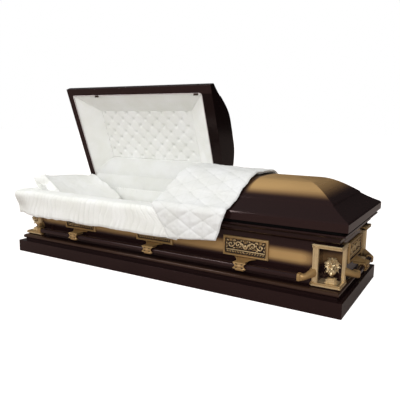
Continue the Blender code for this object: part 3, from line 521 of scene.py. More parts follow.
def crown_gold(turned):
    """Gold over the crown above the crease, fading towards the split and down the hipped end."""
    def share(nodes):
        place = nodes.place(turned)
        x, y, z = nodes.axes(place)
        above = nodes.step(z, 0.499, 0.556)
        # On the foot lid the gold fades to brown beside the throw's edge: painted shadow of the throw. On the head lid
        # it fades to brown at the split.
        beside = nodes.minus(x, nodes.ranged(z, 0.50, 0.585, 0.500, 0.540))
        if turned:
            beside = nodes.minus(HEAD_SPLIT, x)
        width = nodes.ranged(z, 0.50, 0.585, 0.045, 0.014)
        least = 0.0 if turned else 0.2
        fade = nodes.ranged(nodes.step(nodes.math("DIVIDE", beside, width), 0.0, 1.0), 0.0, 1.0, least, 1.0)
        to_end = nodes.minus(nodes.math("ABSOLUTE", x), RIM_X - CROWN_END_RUN)
        side_run = nodes.minus(
            CROWN_END_RUN, nodes.minus(RIM_Y, nodes.math("ABSOLUTE", y))
        )
        on_end = nodes.step(nodes.minus(to_end, side_run), -0.004, 0.004)
        # Less gold on and towards the hipped end: partly the paint's own shading, partly painted shade where the end
        # turns from the light.
        end_share = nodes.times(nodes.step(z, 0.500, 0.578), 0.72)
        towards_end = nodes.ranged(nodes.step(to_end, -0.25, 0.10), 0.0, 1.0, 1.0, 0.80)
        side_share = nodes.times(nodes.times(above, fade), towards_end)
        mixed = nodes.plus(
            nodes.times(on_end, end_share),
            nodes.times(nodes.minus(1.0, on_end), side_share),
        )
        return mixed, place
    return share


def casting(name):
    """Antique gold plate: bright on ridges, brown black in recesses, from a stored relief value that holds the finish's
    dark hollows together with painted highlights and painted shade.
    """
    made = material(name, GOLD, 0.3, 0.9)
    nodes = Nodes(made)
    place = nodes.place()
    relief = nodes.add("ShaderNodeAttribute", attribute_name="relief").outputs["Fac"]
    grime = nodes.noise(place, 130.0, 4.0, 0.65)
    # Relief value with grime noise: the bright ridges are painted highlight, the dark recesses partly the antique
    # finish's dark hollows and partly painted shade.
    relief_light_and_grime = nodes.plus(relief, nodes.times(nodes.minus(grime, 0.5), 0.16))
    dark = nodes.mix(nodes.step(relief_light_and_grime, 0.16, 0.46), (0.020, 0.010, 0.007), (0.46, 0.285, 0.115))
    colour = nodes.mix(nodes.step(relief_light_and_grime, 0.56, 0.92), dark, (0.80, 0.62, 0.36))
    nodes.shade("Base Color", colour)
    rough = nodes.ranged(grime, 0.3, 0.7, 0.26, 0.42)
    nodes.shade("Roughness", nodes.plus(rough, nodes.ranged(relief_light_and_grime, 0.2, 0.6, 0.30, 0.0)))
    nodes.shade("Metallic", nodes.ranged(relief_light_and_grime, 0.2, 0.45, 0.25, 0.60))
    pits = nodes.noise(place, 420.0, 2.0)
    nodes.shade("Normal", nodes.bump(pits, 0.0004, 0.5))
    return made


def cloth(name, colour, turned=False, thread=520.0, crush=0.0010):
    """White crepe: crinkled thread, soft clouds of tone, a little sheen, and painted shade where a stored depth value
    is set.
    """
    made = material(name, colour, 0.85, Specular_IOR_Level=0.2, Sheen_Weight=0.25, Sheen_Roughness=0.5)
    nodes = Nodes(made)
    place = nodes.place(turned)
    cloud = nodes.noise(place, 7.0, 4.0)
    shade = tuple(c * 0.93 for c in colour[:2]) + (colour[2] * 0.90,)
    tone = nodes.mix(nodes.ranged(cloud, 0.35, 0.68, 1.0, 0.0), colour, shade)
    # A stored depth value darkens the cloth: painted shade in folds, round buttons and along sunk seams.
    depth = nodes.add("ShaderNodeAttribute", attribute_name="depth").outputs["Fac"]
    hollow_shade = tuple(c * f for c, f in zip(colour, (0.52, 0.54, 0.50)))
    nodes.shade("Base Color", nodes.mix(depth, tone, hollow_shade))
    crepe = nodes.noise(place, thread, 3.0, 0.6)
    folds = nodes.noise(place, thread * 0.12, 3.0, 0.55)
    fine = nodes.bump(crepe, crush * 0.35, 0.5)
    nodes.shade("Normal", nodes.bump(folds, crush, 0.6, fine))
    nodes.shade("Roughness", nodes.ranged(crepe, 0.3, 0.7, 0.78, 0.95))
    return made


WHITE = (0.86, 0.865, 0.84)
MATERIALS = {
    "body": paint("body_paint", body_gold),
    "foot_lid": paint("foot_lid_paint", crown_gold(False)),
    "head_lid": paint("head_lid_paint", crown_gold(True)),
    "brown": glossy_brown("brown_paint"),
    "bar": glossy_brown("bar_paint", 1.25, 0.5),
    # The lids' end plates take the brown at 0.45 of its tone: painted shade on plates that face away from the light.
    "header": glossy_brown("header_paint", 0.45, 0.2),
    "cast": casting("antique_gold"),
    "crepe": cloth("crepe", WHITE),
    # One white crepe in lighter and darker copies: lighter on the lid's panel, its border and the pillow, darker on the
    # apron, the hinge side cloth and the side lining. These differences are painted light and painted shade.
    "lid_crepe": cloth("lid_crepe", (0.885, 0.89, 0.87), turned=True, crush=0.0006),
    "border": cloth("border_crepe", (0.935, 0.94, 0.92), turned=True, crush=0.0006),
    "apron": cloth("apron_crepe", (0.745, 0.75, 0.735), turned=True),
    "hinge_crepe": cloth("hinge_crepe", (0.70, 0.705, 0.685)),
    "side_crepe": cloth("side_crepe", (0.78, 0.785, 0.765)),
    "pillow_crepe": cloth("pillow_crepe", (0.90, 0.905, 0.89)),
    "quilt": cloth("quilt_cloth", (0.765, 0.77, 0.762), thread=620.0, crush=0.0007),
    # The welt's darker pink tint is a painted reflection of the brown rim beside it.
    "welt": cloth("welt_cloth", (0.74, 0.665, 0.665), turned=True, crush=0.0004),
}


def mottled(name, tones, metallic, scale, rough, bump, contrast=None, specular=0.5):
    """Material whose tone, roughness and surface follow one fine noise."""
    made = material(name, tones[0], rough[0], metallic, Specular_IOR_Level=specular)
    nodes = Nodes(made)
    grain = nodes.noise(nodes.place(), scale)
    nodes.shade("Base Color", nodes.mix(nodes.step(grain, *contrast) if contrast else grain, *tones))
    nodes.shade("Roughness", nodes.ranged(grain, 0.3, 0.7, *rough))
    nodes.shade("Normal", nodes.bump(grain, *bump))
    return made


MATERIALS["steel"] = mottled(
    "zinc_plate", [(0.26, 0.26, 0.27), (0.50, 0.50, 0.51)], 1.0, 240.0, (0.28, 0.5), (0.0002, 0.4),
    contrast=(0.35, 0.7),
)
MATERIALS["rubber"] = mottled(
    "gasket_rubber", [(0.002, 0.002, 0.002), (0.007, 0.006, 0.006)], 0.0, 500.0, (0.7, 0.92), (0.0003, 0.5),
    specular=0.1,
)
MATERIALS["bronze"] = mottled(
    "dark_bronze", [(0.030, 0.016, 0.012), (0.10, 0.062, 0.045)], 0.7, 300.0, (0.25, 0.5), (0.0003, 0.4),
)


def dress(node, key):
    """Give a kept node its better material."""
    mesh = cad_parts[node].data
    mesh.materials.clear()
    mesh.materials.append(MATERIALS[key])


def placed(piece, body, nodes):
    """A piece that rides on a body and stands for some nodes."""
    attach(piece, body)
    if nodes:
        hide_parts(*nodes)
    return piece


# Sheet metal


def body_profile():
    """(side inset, height) up the body's skin."""
    torus = arc((FOOT_INSET, TORUS_MIDDLE), (-TORUS_RADIUS, TORUS_RADIUS), -90, 90, 12)
    flare = arc((WAIST_INSET - FLARE_REACH, FLARE_TOP), (FLARE_REACH, FLARE_HEIGHT), 0, 90, 8)
    cove = arc((CORNICE_INSET, COVE_BOTTOM), (COVE_REACH, COVE_HEIGHT), 0, 90, 10)
    return [
        (FOOT_INSET, 0.0), *torus, (WAIST_INSET, 0.1165), (WAIST_INSET, NICHE_BOTTOM),
        (WAIST_INSET, NICHE_TOP), *flare, *cove, (CORNICE_INSET, BODY_HEIGHT),
    ]


def end_inset(inset):
    """Inset at the ends for an inset at the sides: the ends have a shallower waist."""
    deeper = max(inset - FOOT_INSET, 0.0)
    return inset - deeper + deeper * 0.010 / 0.032


def side_points(x, y, z, side, ends):
    """Points along one side of the body at a height, with or without its niches' edges."""
    corners = rectangle(-x, x, -y, y)
    start, end = corners[side], corners[(side + 1) % 4]
    if side % 2 == 0:
        cuts = [(NICHE_X if c[0] > 0 else -NICHE_X, c[1]) for c in (start, end)]
    else:
        cuts = [(c[0], NICHE_Y if c[1] > 0 else -NICHE_Y) for c in (start, end)]
    chosen = {"corners": [start, end], "niche": cuts, "all": [start, *cuts, end]}[ends]
    return level(chosen, z)


def make_body():
    """Sheet steel body with its notched corners, and the skirt round its foot."""
    levels = [(RIM_X - end_inset(s), RIM_Y - s, z) for s, z in body_profile()]
    polygons = []
    for low, high in zip(levels, levels[1:]):
        niche = low[2] == NICHE_BOTTOM and high[2] == NICHE_TOP
        low_ends = "niche" if niche else "all" if low[2] == NICHE_TOP else "corners"
        high_ends = "niche" if niche else "all" if high[2] == NICHE_BOTTOM else "corners"
        for side in range(4):
            polygons.append(side_points(*low, side, low_ends) + side_points(*high, side, high_ends)[::-1])
    for sx, sy in CORNERS.values():
        outer_x, outer_y, inner_x, inner_y = sx * WAIST_X, sy * WAIST_Y, sx * NICHE_X, sy * NICHE_Y
        plan = [(inner_x, outer_y), (inner_x, inner_y), (outer_x, inner_y), (outer_x, outer_y)]
        floor, roof = level(plan, NICHE_BOTTOM), level(plan, NICHE_TOP)
        polygons += [floor, roof]
        polygons += [(floor[i], floor[i + 1], roof[i + 1], roof[i]) for i in (0, 1)]
    x, y, top = levels[-1]
    edge = level(rectangle(-x, x, -y, y), top)
    hole_x, hole_y = RIM_X - FLANGE_INSET, RIM_Y - FLANGE_INSET
    opening = level(rectangle(-hole_x, hole_x, -hole_y, hole_y), top)
    polygons += [(edge[i], edge[(i + 1) % 4], opening[(i + 1) % 4], opening[i]) for i in range(4)]
    x, y, bottom = levels[0]
    polygons.append(level(rectangle(-x, x, -y, y), bottom))
    body = finish_mesh("body_panels", polygon_mesh(polygons), MATERIALS["body"], 30)
    thickened(body, SHEET)
    rounded(body, 0.0016, 3, 28)
    placed(body, "casket_body", ["body_shell"])

    ledge, inner = 0.0327, BASE_HEIGHT - SHEET
    section = [
        (0, 0), (0, BASE_HEIGHT), (-ledge, BASE_HEIGHT), (-ledge, inner), (-SHEET, inner), (-SHEET, SHEET),
        (-BASE_HEM, SHEET), (-BASE_HEM, 0),
    ]
    rings = sweep_rings(section, rectangle(-BASE_X, BASE_X, -BASE_Y, BASE_Y), closed=True)
    skirt = finish_mesh("base_skirt", ring_mesh(rings, closed=True), MATERIALS["brown"], 30)
    rounded(skirt, 0.0022, 3, 30)
    placed(skirt, "casket_body", ["base_moulding"])


def crown_profile(dome_steps=26):
    """(inset, height) of a lid's skin from the rim's lower edge up to the ridge."""
    crease = BAND_TOP + CREASE_RISE
    upper = (CREASE_INSET + CREASE_RUN, crease + CREASE_STEP)
    slope = [(0.005, BAND_TOP + 0.0025)]
    for share in (0.35, 0.7):
        slope.append((0.005 + (CREASE_INSET - 0.005) * share, BAND_TOP + (CREASE_RISE - 0.0025) * share))
    height = BAND_TOP + CROWN_HEIGHT - 0.001 - upper[1]
    dome = []
    for i in range(dome_steps + 1):
        share = i / dome_steps
        inset = upper[0] + (CROWN_END_RUN - upper[0]) * share
        dome.append((inset, upper[1] + height * sin(share * pi / 2)))
    return [
        (0.0, LID_BOTTOM), (0.0, BAND_TOP - 0.005), *slope, (CREASE_INSET, crease), *dome,
        (RIM_Y, BAND_TOP + CROWN_HEIGHT),
    ]


def make_lid(name, split, end, body, key, turn):
    """Skin of a lid, from its split to its hipped end."""
    inward = 1 if end < split else -1
    rings = []
    for inset, z in [(LID_FLANGE, LID_BOTTOM), *crown_profile()]:
        x, y = end + inward * min(inset, CROWN_END_RUN), RIM_Y - inset
        rings.append(level([(split, -y), (x, -y), (x, y), (split, y)], z))
    polygons = []
    for low, high in zip(rings, rings[1:]):
        polygons += [(low[i], low[i + 1], high[i + 1], high[i]) for i in range(3)]
    piece = finish_mesh(name, polygon_mesh(polygons), MATERIALS[key], 24, turn)
    thickened(piece, SHEET)
    rounded(piece, 0.0022, 3, 22)
    placed(piece, body, [f"{body}_shell"])
    dress(f"{body}_header", "header")


# Castings


def leaf_height(u, v, spine, widths, height):
    """Height of a rounded leaf with a sunk vein along a spine of points."""
    best = np.full(u.shape, -1.0)
    for k in range(len(spine) - 1):
        (ax, ay), (bx, by) = spine[k], spine[k + 1]
        dx, dy = bx - ax, by - ay
        length = max(dx * dx + dy * dy, 1e-12)
        t = np.clip(((u - ax) * dx + (v - ay) * dy) / length, 0, 1)
        distance = np.hypot(u - (ax + t * dx), v - (ay + t * dy))
        width = widths[k] + (widths[k + 1] - widths[k]) * t
        r = distance / np.maximum(width, 1e-6)
        form = np.sqrt(np.clip(1 - r * r, 0, 1)) - 0.35 * np.exp(-(r / 0.18) ** 2)
        best = np.maximum(best, np.where(r < 1, form, -1.0))
    return np.where(best > -1, height * best, 0.0)


def scroll(centre, radius, turns, start, side):
    """Spiral of points that winds in to a centre."""
    points, steps = [], 16
    for i in range(steps + 1):
        t = i / steps
        angle = radians(start) + side * turns * 2 * pi * t
        r = radius * (1 - 0.86 * t)
        points.append((centre[0] + r * cos(angle), centre[1] + r * sin(angle)))
    return points


def lug_relief(u, v):
    """Leaf scrolls over a ledge and a row of small leaves, on the plate's sunk field."""
    relief = np.zeros(u.shape)

    def add(height):
        np.maximum(relief, height, out=relief)

    for side in (-1, 1):
        s = side
        add(leaf_height(u, v, [(s * 0.004, -0.008), (s * 0.016, 0.012), (s * 0.030, 0.024)],
                        [0.0045, 0.0055, 0.0015], 0.0050))
        vine = scroll((s * 0.040, 0.010), 0.0165, 1.15, 180 if s > 0 else 0, -s)
        add(leaf_height(u, v, vine, list(np.linspace(0.0046, 0.0022, len(vine))), 0.0052))
        vine = scroll((s * 0.080, 0.008), 0.0155, 1.1, 200 if s > 0 else -20, s)
        add(leaf_height(u, v, vine, list(np.linspace(0.0044, 0.0020, len(vine))), 0.0050))
        for x, y, angle, length in (
            (0.022, 0.002, -35, 0.016), (0.052, 0.026, 25, 0.017), (0.060, 0.004, 80, 0.019),
            (0.056, -0.008, -30, 0.015), (0.094, 0.022, 40, 0.014), (0.098, -0.004, -50, 0.013),
            (0.070, 0.027, 160, 0.012), (0.028, 0.028, 150, 0.012), (0.010, 0.026, 70, 0.011),
            (0.101, 0.010, 5, 0.010), (0.047, 0.012, 10, 0.010), (0.087, 0.010, -20, 0.009),
        ):
            a = radians(angle)
            tip = (s * (x + length * cos(a)), y + length * sin(a))
            middle = (s * (x + length * 0.5 * cos(a + 0.25)), y + length * 0.5 * sin(a + 0.25))
            add(leaf_height(u, v, [(s * x, y), middle, tip], [0.0016, 0.0046, 0.0006], 0.0046))
        for k in range(7):
            x = s * (0.008 + 0.0145 * k)
            add(leaf_height(u, v, [(x, -0.0335), (x + s * 0.003, -0.0285), (x + s * 0.009, -0.0255)],
                            [0.0022, 0.0036, 0.0006], 0.0034))
    angle = np.arctan2(v - 0.006, u)
    radius = np.hypot(u, v - 0.006)
    petals = 0.0095 * (0.80 + 0.20 * np.cos(8 * angle))
    add(np.where(radius < petals, 0.0050 * np.sqrt(np.clip(1 - (radius / petals) ** 2, 0, 1)) + 0.0008, 0))
    add(np.where(radius < 0.0032, 0.0068, 0))
    ledge = np.clip(1 - np.abs((v + 0.0195) / 0.0035) ** 4, 0, 1) * smoothstep(0.112, 0.108, np.abs(u))
    add(0.0050 * ledge)
    return relief


def make_lug_mesh():
    """Relief plate on the wall plane y = 0, facing -Y, at the height of the plates."""
    columns, rows = 167, 73
    u = np.linspace(-LUG_W / 2, LUG_W / 2, columns)
    v = np.linspace(-LUG_H / 2, LUG_H / 2, rows)
    u, v = np.meshgrid(u, v, indexing="xy")
    inset = np.minimum(LUG_W / 2 - np.abs(u), LUG_H / 2 - np.abs(v))
    floor = 0.0045
    out = 0.0070 + 0.0040 * smoothstep(0, 0.0035, inset)
    out -= 0.0016 * (smoothstep(0.0075, 0.0085, inset) - smoothstep(0.0095, 0.0105, inset))
    out += (floor - LUG_T) * smoothstep(0.0125, 0.0150, inset)
    bead = 0.5 + 0.5 * np.cos(2 * pi * (u + v) / 0.0042)
    band = smoothstep(0.0150, 0.0158, inset) * smoothstep(0.0180, 0.0172, inset)
    out += 0.0013 * band * bead
    inside = smoothstep(0.0160, 0.0180, inset)
    raised = inside * lug_relief(u, v)
    spread = raised
    for _ in range(3):
        for axis in (0, 1):
            spread = (np.roll(spread, 2, axis) + np.roll(spread, -2, axis) + spread) / 3
    outline = np.clip((spread - raised) / 0.0014, 0, 1)
    out += raised - 0.0009 * outline
    out += inside * 0.0003 * noise(u * 900, v * 900, 3)
    out = np.minimum(out, LUG_T + 0.0012)
    points = np.stack([u, -GAP - out, LUG_Z + v], 2)
    vertices = points.reshape(-1, 3).tolist()
    faces = grid_faces(rows, columns)
    rim = grid_rim(rows, columns)
    back = {}
    for k in rim:
        back[k] = len(vertices)
        vertices.append([vertices[k][0], -GAP, vertices[k][2]])
    for a, b in zip(rim, rim[1:] + rim[:1]):
        faces.append([a, b, back[b], back[a]])
    faces.append([back[k] for k in rim])
    mesh = new_mesh(vertices, faces)
    # Colour value stored as relief: lighter on raised forms and the frame's outer edge (painted highlight), darker in
    # the outline round raised forms (painted shade) and in the groove (the finish's dark hollow); the noise is random
    # tone.
    groove = smoothstep(0.0115, 0.0135, inset) * smoothstep(0.0175, 0.0155, inset)
    edge_shade = 0.46 + 0.40 * np.clip(raised / 0.0050, 0, 1) - 0.60 * outline - 0.26 * groove
    edge_shade += 0.24 * (smoothstep(0.0, 0.002, inset) * smoothstep(0.0065, 0.004, inset))
    edge_shade += 0.10 * noise(u * 260, v * 260, 5) * inside
    values = np.concatenate([edge_shade.ravel(), np.full(len(vertices) - rows * columns, 0.45)])
    store(mesh, "relief", values)
    return mesh


def make_arm_meshes():
    """Waisted arm with an ornate face, on the wall plane y = 0, facing -Y."""
    pad_top = LUG_Z - LUG_H / 2 - 2 * GAP
    path = [
        (0.0062, pad_top - 0.001, 0.0595), (0.014, pad_top - 0.0015, 0.0510),
        (0.024, pad_top - 0.003, 0.0410),
        (0.036, pad_top - 0.006, 0.0330), (0.050, pad_top - 0.0075, 0.0280), (0.062, 0.1866, 0.0280),
        (0.0700, 0.1848, 0.0325), (0.0745, 0.1818, 0.0362), (0.0755, 0.1770, 0.0300),
        (0.0757, 0.1710, 0.0245),
        (0.0757, 0.1650, 0.0242), (0.0755, 0.1590, 0.0290), (0.0750, 0.1520, 0.0364),
        (0.0705, 0.1485, 0.0345),
        (0.0640, 0.1490, 0.0290),
    ]
    steps = np.linspace(0, len(path) - 1, 96)
    base = np.arange(len(path))
    path = np.array(path)
    out, z, half = [np.interp(steps, base, path[:, k]) for k in range(3)]
    kernel = np.ones(5) / 5
    out, z, half = [
        np.convolve(np.pad(a, 2, mode="edge"), kernel, mode="valid") for a in (out, z, half)
    ]
    across = np.linspace(-1, 1, 43)
    s, t = np.meshgrid(across, np.linspace(0, 1, 96), indexing="xy")
    x = s * half[:, None]
    normal = -line_normals(np.stack([out, z], 1))
    high = z[:, None]
    on_face = smoothstep(0.184, 0.180, high) * smoothstep(0.43, 0.47, t)
    eyes = np.exp(-((np.abs(s) - 0.52) / 0.20) ** 2) * (
        np.exp(-((high - 0.1752) / 0.0032) ** 2) + np.exp(-((high - 0.1580) / 0.0032) ** 2)
    )
    boss = np.sqrt(np.clip(1 - (s / 0.34) ** 2 - ((high - 0.1668) / 0.0052) ** 2, 0, 1))
    rims = np.exp(-((np.abs(s) - 0.93) / 0.07) ** 2) + np.exp(-((high - 0.1525) / 0.0014) ** 2)
    leaf = np.abs(np.sin(pi * (high / 0.0058 + np.abs(s) * 1.6)))
    veins = leaf ** 0.6 * smoothstep(0.16, 0.30, np.abs(s)) * smoothstep(0.88, 0.75, np.abs(s))
    relief = on_face * (0.0024 * boss + 0.0018 * np.minimum(rims, 1) + 0.0012 * veins - 0.0030 * eyes)
    fan = 0.5 + 0.5 * np.cos(pi * s * 7)
    relief += (1 - on_face) * (0.0014 * fan + 0.0012 * np.exp(-((np.abs(s) - 0.94) / 0.06) ** 2))
    relief -= 0.0012 * s * s
    points = np.stack([
        x, -(out[:, None] + normal[:, 0:1] * relief), z[:, None] + normal[:, 1:2] * relief
    ], 2)
    cover = slab_mesh(points, 0.0050)
    # Colour value stored as relief: raised parts lighter as painted highlight, the eyes darker as painted shade.
    shade = 0.40 + 150 * (relief + 0.0012 * s * s) - 0.25 * np.minimum(eyes, 1) * on_face
    store(cover, "relief", np.concatenate([shade.ravel(), np.full(shade.size, 0.4)]))
    ring = rectangle(-(BAR_OUT + 0.0200), -(BAR_OUT - 0.0190), BAR_Z - 0.0190, BAR_Z + 0.0195)
    ring = rounded_line(ring + ring[:2], 0.006)[1:-1]
    band = ring_mesh([[(x, a, b) for a, b in ring] for x in (-0.0225, 0.0225)])
    neck = block_mesh(-0.017, 0.017, -BAR_OUT, -0.004, BAR_Z + 0.009, BAR_Z + 0.0255)
    for mesh in (band, neck):
        store(mesh, "relief", np.full(len(mesh.vertices), 0.42))
    return cover, band, neck


def tube_mesh(stations, sides):
    """Round tube through stations of (centre, direction across, direction up, half width, half height)."""
    rings = []
    for centre, across, up, a, b, square in stations:
        ring = []
        for k in range(sides):
            angle = 2 * pi * (k + 0.5) / sides
            c, s = cos(angle), sin(angle)
            power = 1 - 0.62 * square
            cx, sx = abs(c) ** power * np.sign(c), abs(s) ** power * np.sign(s)
            ring.append(tuple(centre + across * (a * cx) + up * (b * sx)))
        rings.append(ring)
    return ring_mesh(rings)


def horn_mesh(start, wall, along_x):
    """Horn that sweeps out of an upright into the square socket round the bar's end."""
    controls = [
        (-0.0002, BAR_OUT, 0.0, 0.0170, 0.0170, 1.0), (0.0014, BAR_OUT, 0.0, 0.0182, 0.0182, 1.0),
        (0.0120, BAR_OUT, 0.0, 0.0182, 0.0182, 1.0), (0.0138, BAR_OUT, 0.0, 0.0160, 0.0160, 0.9),
        (0.0160, BAR_OUT, 0.0, 0.0160, 0.0160, 0.8),
        (0.0180, BAR_OUT - 0.0004, 0.0004, 0.0176, 0.0174, 0.6),
        (0.0230, BAR_OUT - 0.0015, 0.0012, 0.0165, 0.0165, 0.3),
        (0.0300, BAR_OUT - 0.0050, 0.0030, 0.0158, 0.0160, 0.1),
        (0.0380, BAR_OUT - 0.0120, 0.0065, 0.0160, 0.0165, 0.0),
        (0.0450, BAR_OUT - 0.0210, 0.0105, 0.0168, 0.0175, 0.0),
        (0.0510, BAR_OUT - 0.0310, 0.0140, 0.0180, 0.0190, 0.0),
        (0.0550, BAR_OUT - 0.0400, 0.0165, 0.0200, 0.0215, 0.0),
        (0.0575, BAR_OUT - 0.0480, 0.0180, 0.0225, 0.0250, 0.0),
    ]
    stations = []
    for i, (along, out, rise, a, b, square) in enumerate(controls):
        j, k = max(i - 1, 0), min(i + 1, len(controls) - 1)
        direction = Vector((controls[k][0] - controls[j][0], -(controls[k][1] - controls[j][1]), 0))
        if i < 5:
            direction = Vector((1, 0, 0))
        direction.normalize()
        across = Vector((-direction.y, direction.x, 0))
        centre = Vector((start + along, -(wall + out), BAR_Z + rise))
        stations.append((centre, across, Vector((0, 0, 1)), a, b, square))
    mesh = tube_mesh(stations, 28)
    if along_x:
        return mesh
    return moved(mesh, Matrix(((0, -1, 0, 0), (-1, 0, 0, 0), (0, 0, 1, 0), (0, 0, 0, 1))))


def block_mesh(x0, x1, y0, y1, z0, z1):
    """Box between limits."""
    plan = rectangle(x0, x1, y0, y1)
    return ring_mesh([level(plan, z0), level(plan, z1)])


def curl_mesh(centre, radius, depth, axis):
    """Small scroll boss: a stepped button on a wall, at the end of a bar."""
    rings = []
    for r, out in (
        (1.0, 0.0), (1.0, 0.75), (0.85, 1.0), (0.62, 1.0), (0.55, 0.72), (0.40, 0.72), (0.30, 1.05),
        (0.0, 1.15),
    ):
        ring = []
        for k in range(20):
            angle = 2 * pi * k / 20
            a, b = radius * max(r, 0.01) * cos(angle), radius * max(r, 0.01) * sin(angle)
            if axis == "y":
                ring.append((centre[0] + a, centre[1] - depth * out, centre[2] + b))
            else:
                ring.append((centre[0] + depth * out, centre[1] + a, centre[2] + b))
        rings.append(ring)
    return ring_mesh(rings)


def make_corner_meshes():
    """Corner frame at the front foot corner."""
    wall_x, wall_y = WAIST_X + GAP, WAIST_Y + GAP
    path = [(FRAME_X, -wall_y), (wall_x, -wall_y), (wall_x, -FRAME_Y)]
    roof, top, low, shelf = NICHE_TOP - 0.003, NICHE_TOP + 0.016, FRAME_LOW, SHELF_TOP
    meshes = [
        ring_mesh(sweep_rings([
            (0, roof), (0.015, roof), (0.019, roof + 0.003), (0.019, roof + 0.0065),
            (0.0165, roof + 0.0085),
            (0.0165, top - 0.0095), (0.019, top - 0.0075), (0.019, top - 0.004), (0.016, top),
            (0, FLARE_TOP),
        ], path)),
        ring_mesh(sweep_rings([
            (0, low), (0.017, low), (0.019, low + 0.002), (0.019, low + 0.006), (0.017, low + 0.0075),
            (0.017, shelf - 0.0035), (0.016, shelf), (0, shelf),
        ], path)),
        block_mesh(NICHE_X + GAP, wall_x + 0.003, -wall_y - 0.003, -NICHE_Y - GAP, NICHE_BOTTOM + GAP, shelf),
    ]
    z0, z1 = (low + shelf) / 2, (top + roof) / 2
    across = [
        (0.0, 0.0), (0.0, 0.010), (0.0022, 0.0145), (0.0075, 0.0145), (0.0095, 0.0118), (0.0185, 0.0118),
        (0.0205, 0.0150), (0.0258, 0.0150), (0.028, 0.0120), (0.028, 0.0),
    ]
    side = [(FRAME_X + a, -wall_y - b) for a, b in across]
    meshes.append(ring_mesh([level(side, z0), level(side, z1)]))
    end = [(wall_x + b, -FRAME_Y - a) for a, b in across]
    meshes.append(ring_mesh([level(end, z0), level(end, z1)]))
    meshes += [
        horn_mesh(BAR_SIDE_START, WAIST_Y, True), horn_mesh(BAR_END_START, WAIST_X, False),
        curl_mesh((FRAME_X + 0.0045, -wall_y, 0.1255), 0.0120, 0.0165, "y"),
        curl_mesh((FRAME_X + 0.0075, -wall_y, 0.3045), 0.0070, 0.0180, "y"),
        curl_mesh((wall_x, -FRAME_Y - 0.0045, 0.1255), 0.0120, 0.0165, "x"),
        curl_mesh((wall_x, -FRAME_Y - 0.0075, 0.3045), 0.0070, 0.0180, "x"),
    ]
    return meshes


def turned_mesh(profile, middle, sides, flutes=0, depth=0.0):
    """Turned form through (radius, height, share of the flutes' depth)."""
    rings = []
    for radius, z, cut in profile:
        ring = []
        for k in range(sides):
            angle = 2 * pi * k / sides
            r = max(radius, 0.0002) * (1 - depth * cut * (0.5 + 0.5 * cos(flutes * angle)))
            ring.append((middle[0] + r * cos(angle), middle[1] + r * sin(angle), z))
        rings.append(ring)
    return ring_mesh(rings)


def petal_mesh(length, width, curl, cup):
    """Petal or leaf along +Z that curls outwards towards +X."""
    rows, columns = 11, 7
    t, s = np.meshgrid(np.linspace(0, 1, rows), np.linspace(-1, 1, columns), indexing="ij")
    half = width / 2 * np.sin(pi * np.clip(t * 0.92 + 0.06, 0, 1)) ** 0.7
    bend = curl * t * t
    x = length * (0.10 * t) + (length * t) * np.sin(bend) * 0.75
    z = (length * t) * np.cos(bend * 0.8)
    y = s * half
    x = x + cup * half * s * s - 0.15 * half * np.exp(-(s / 0.3) ** 2)
    return slab_mesh(np.stack([x, y, z], 2), 0.0012)


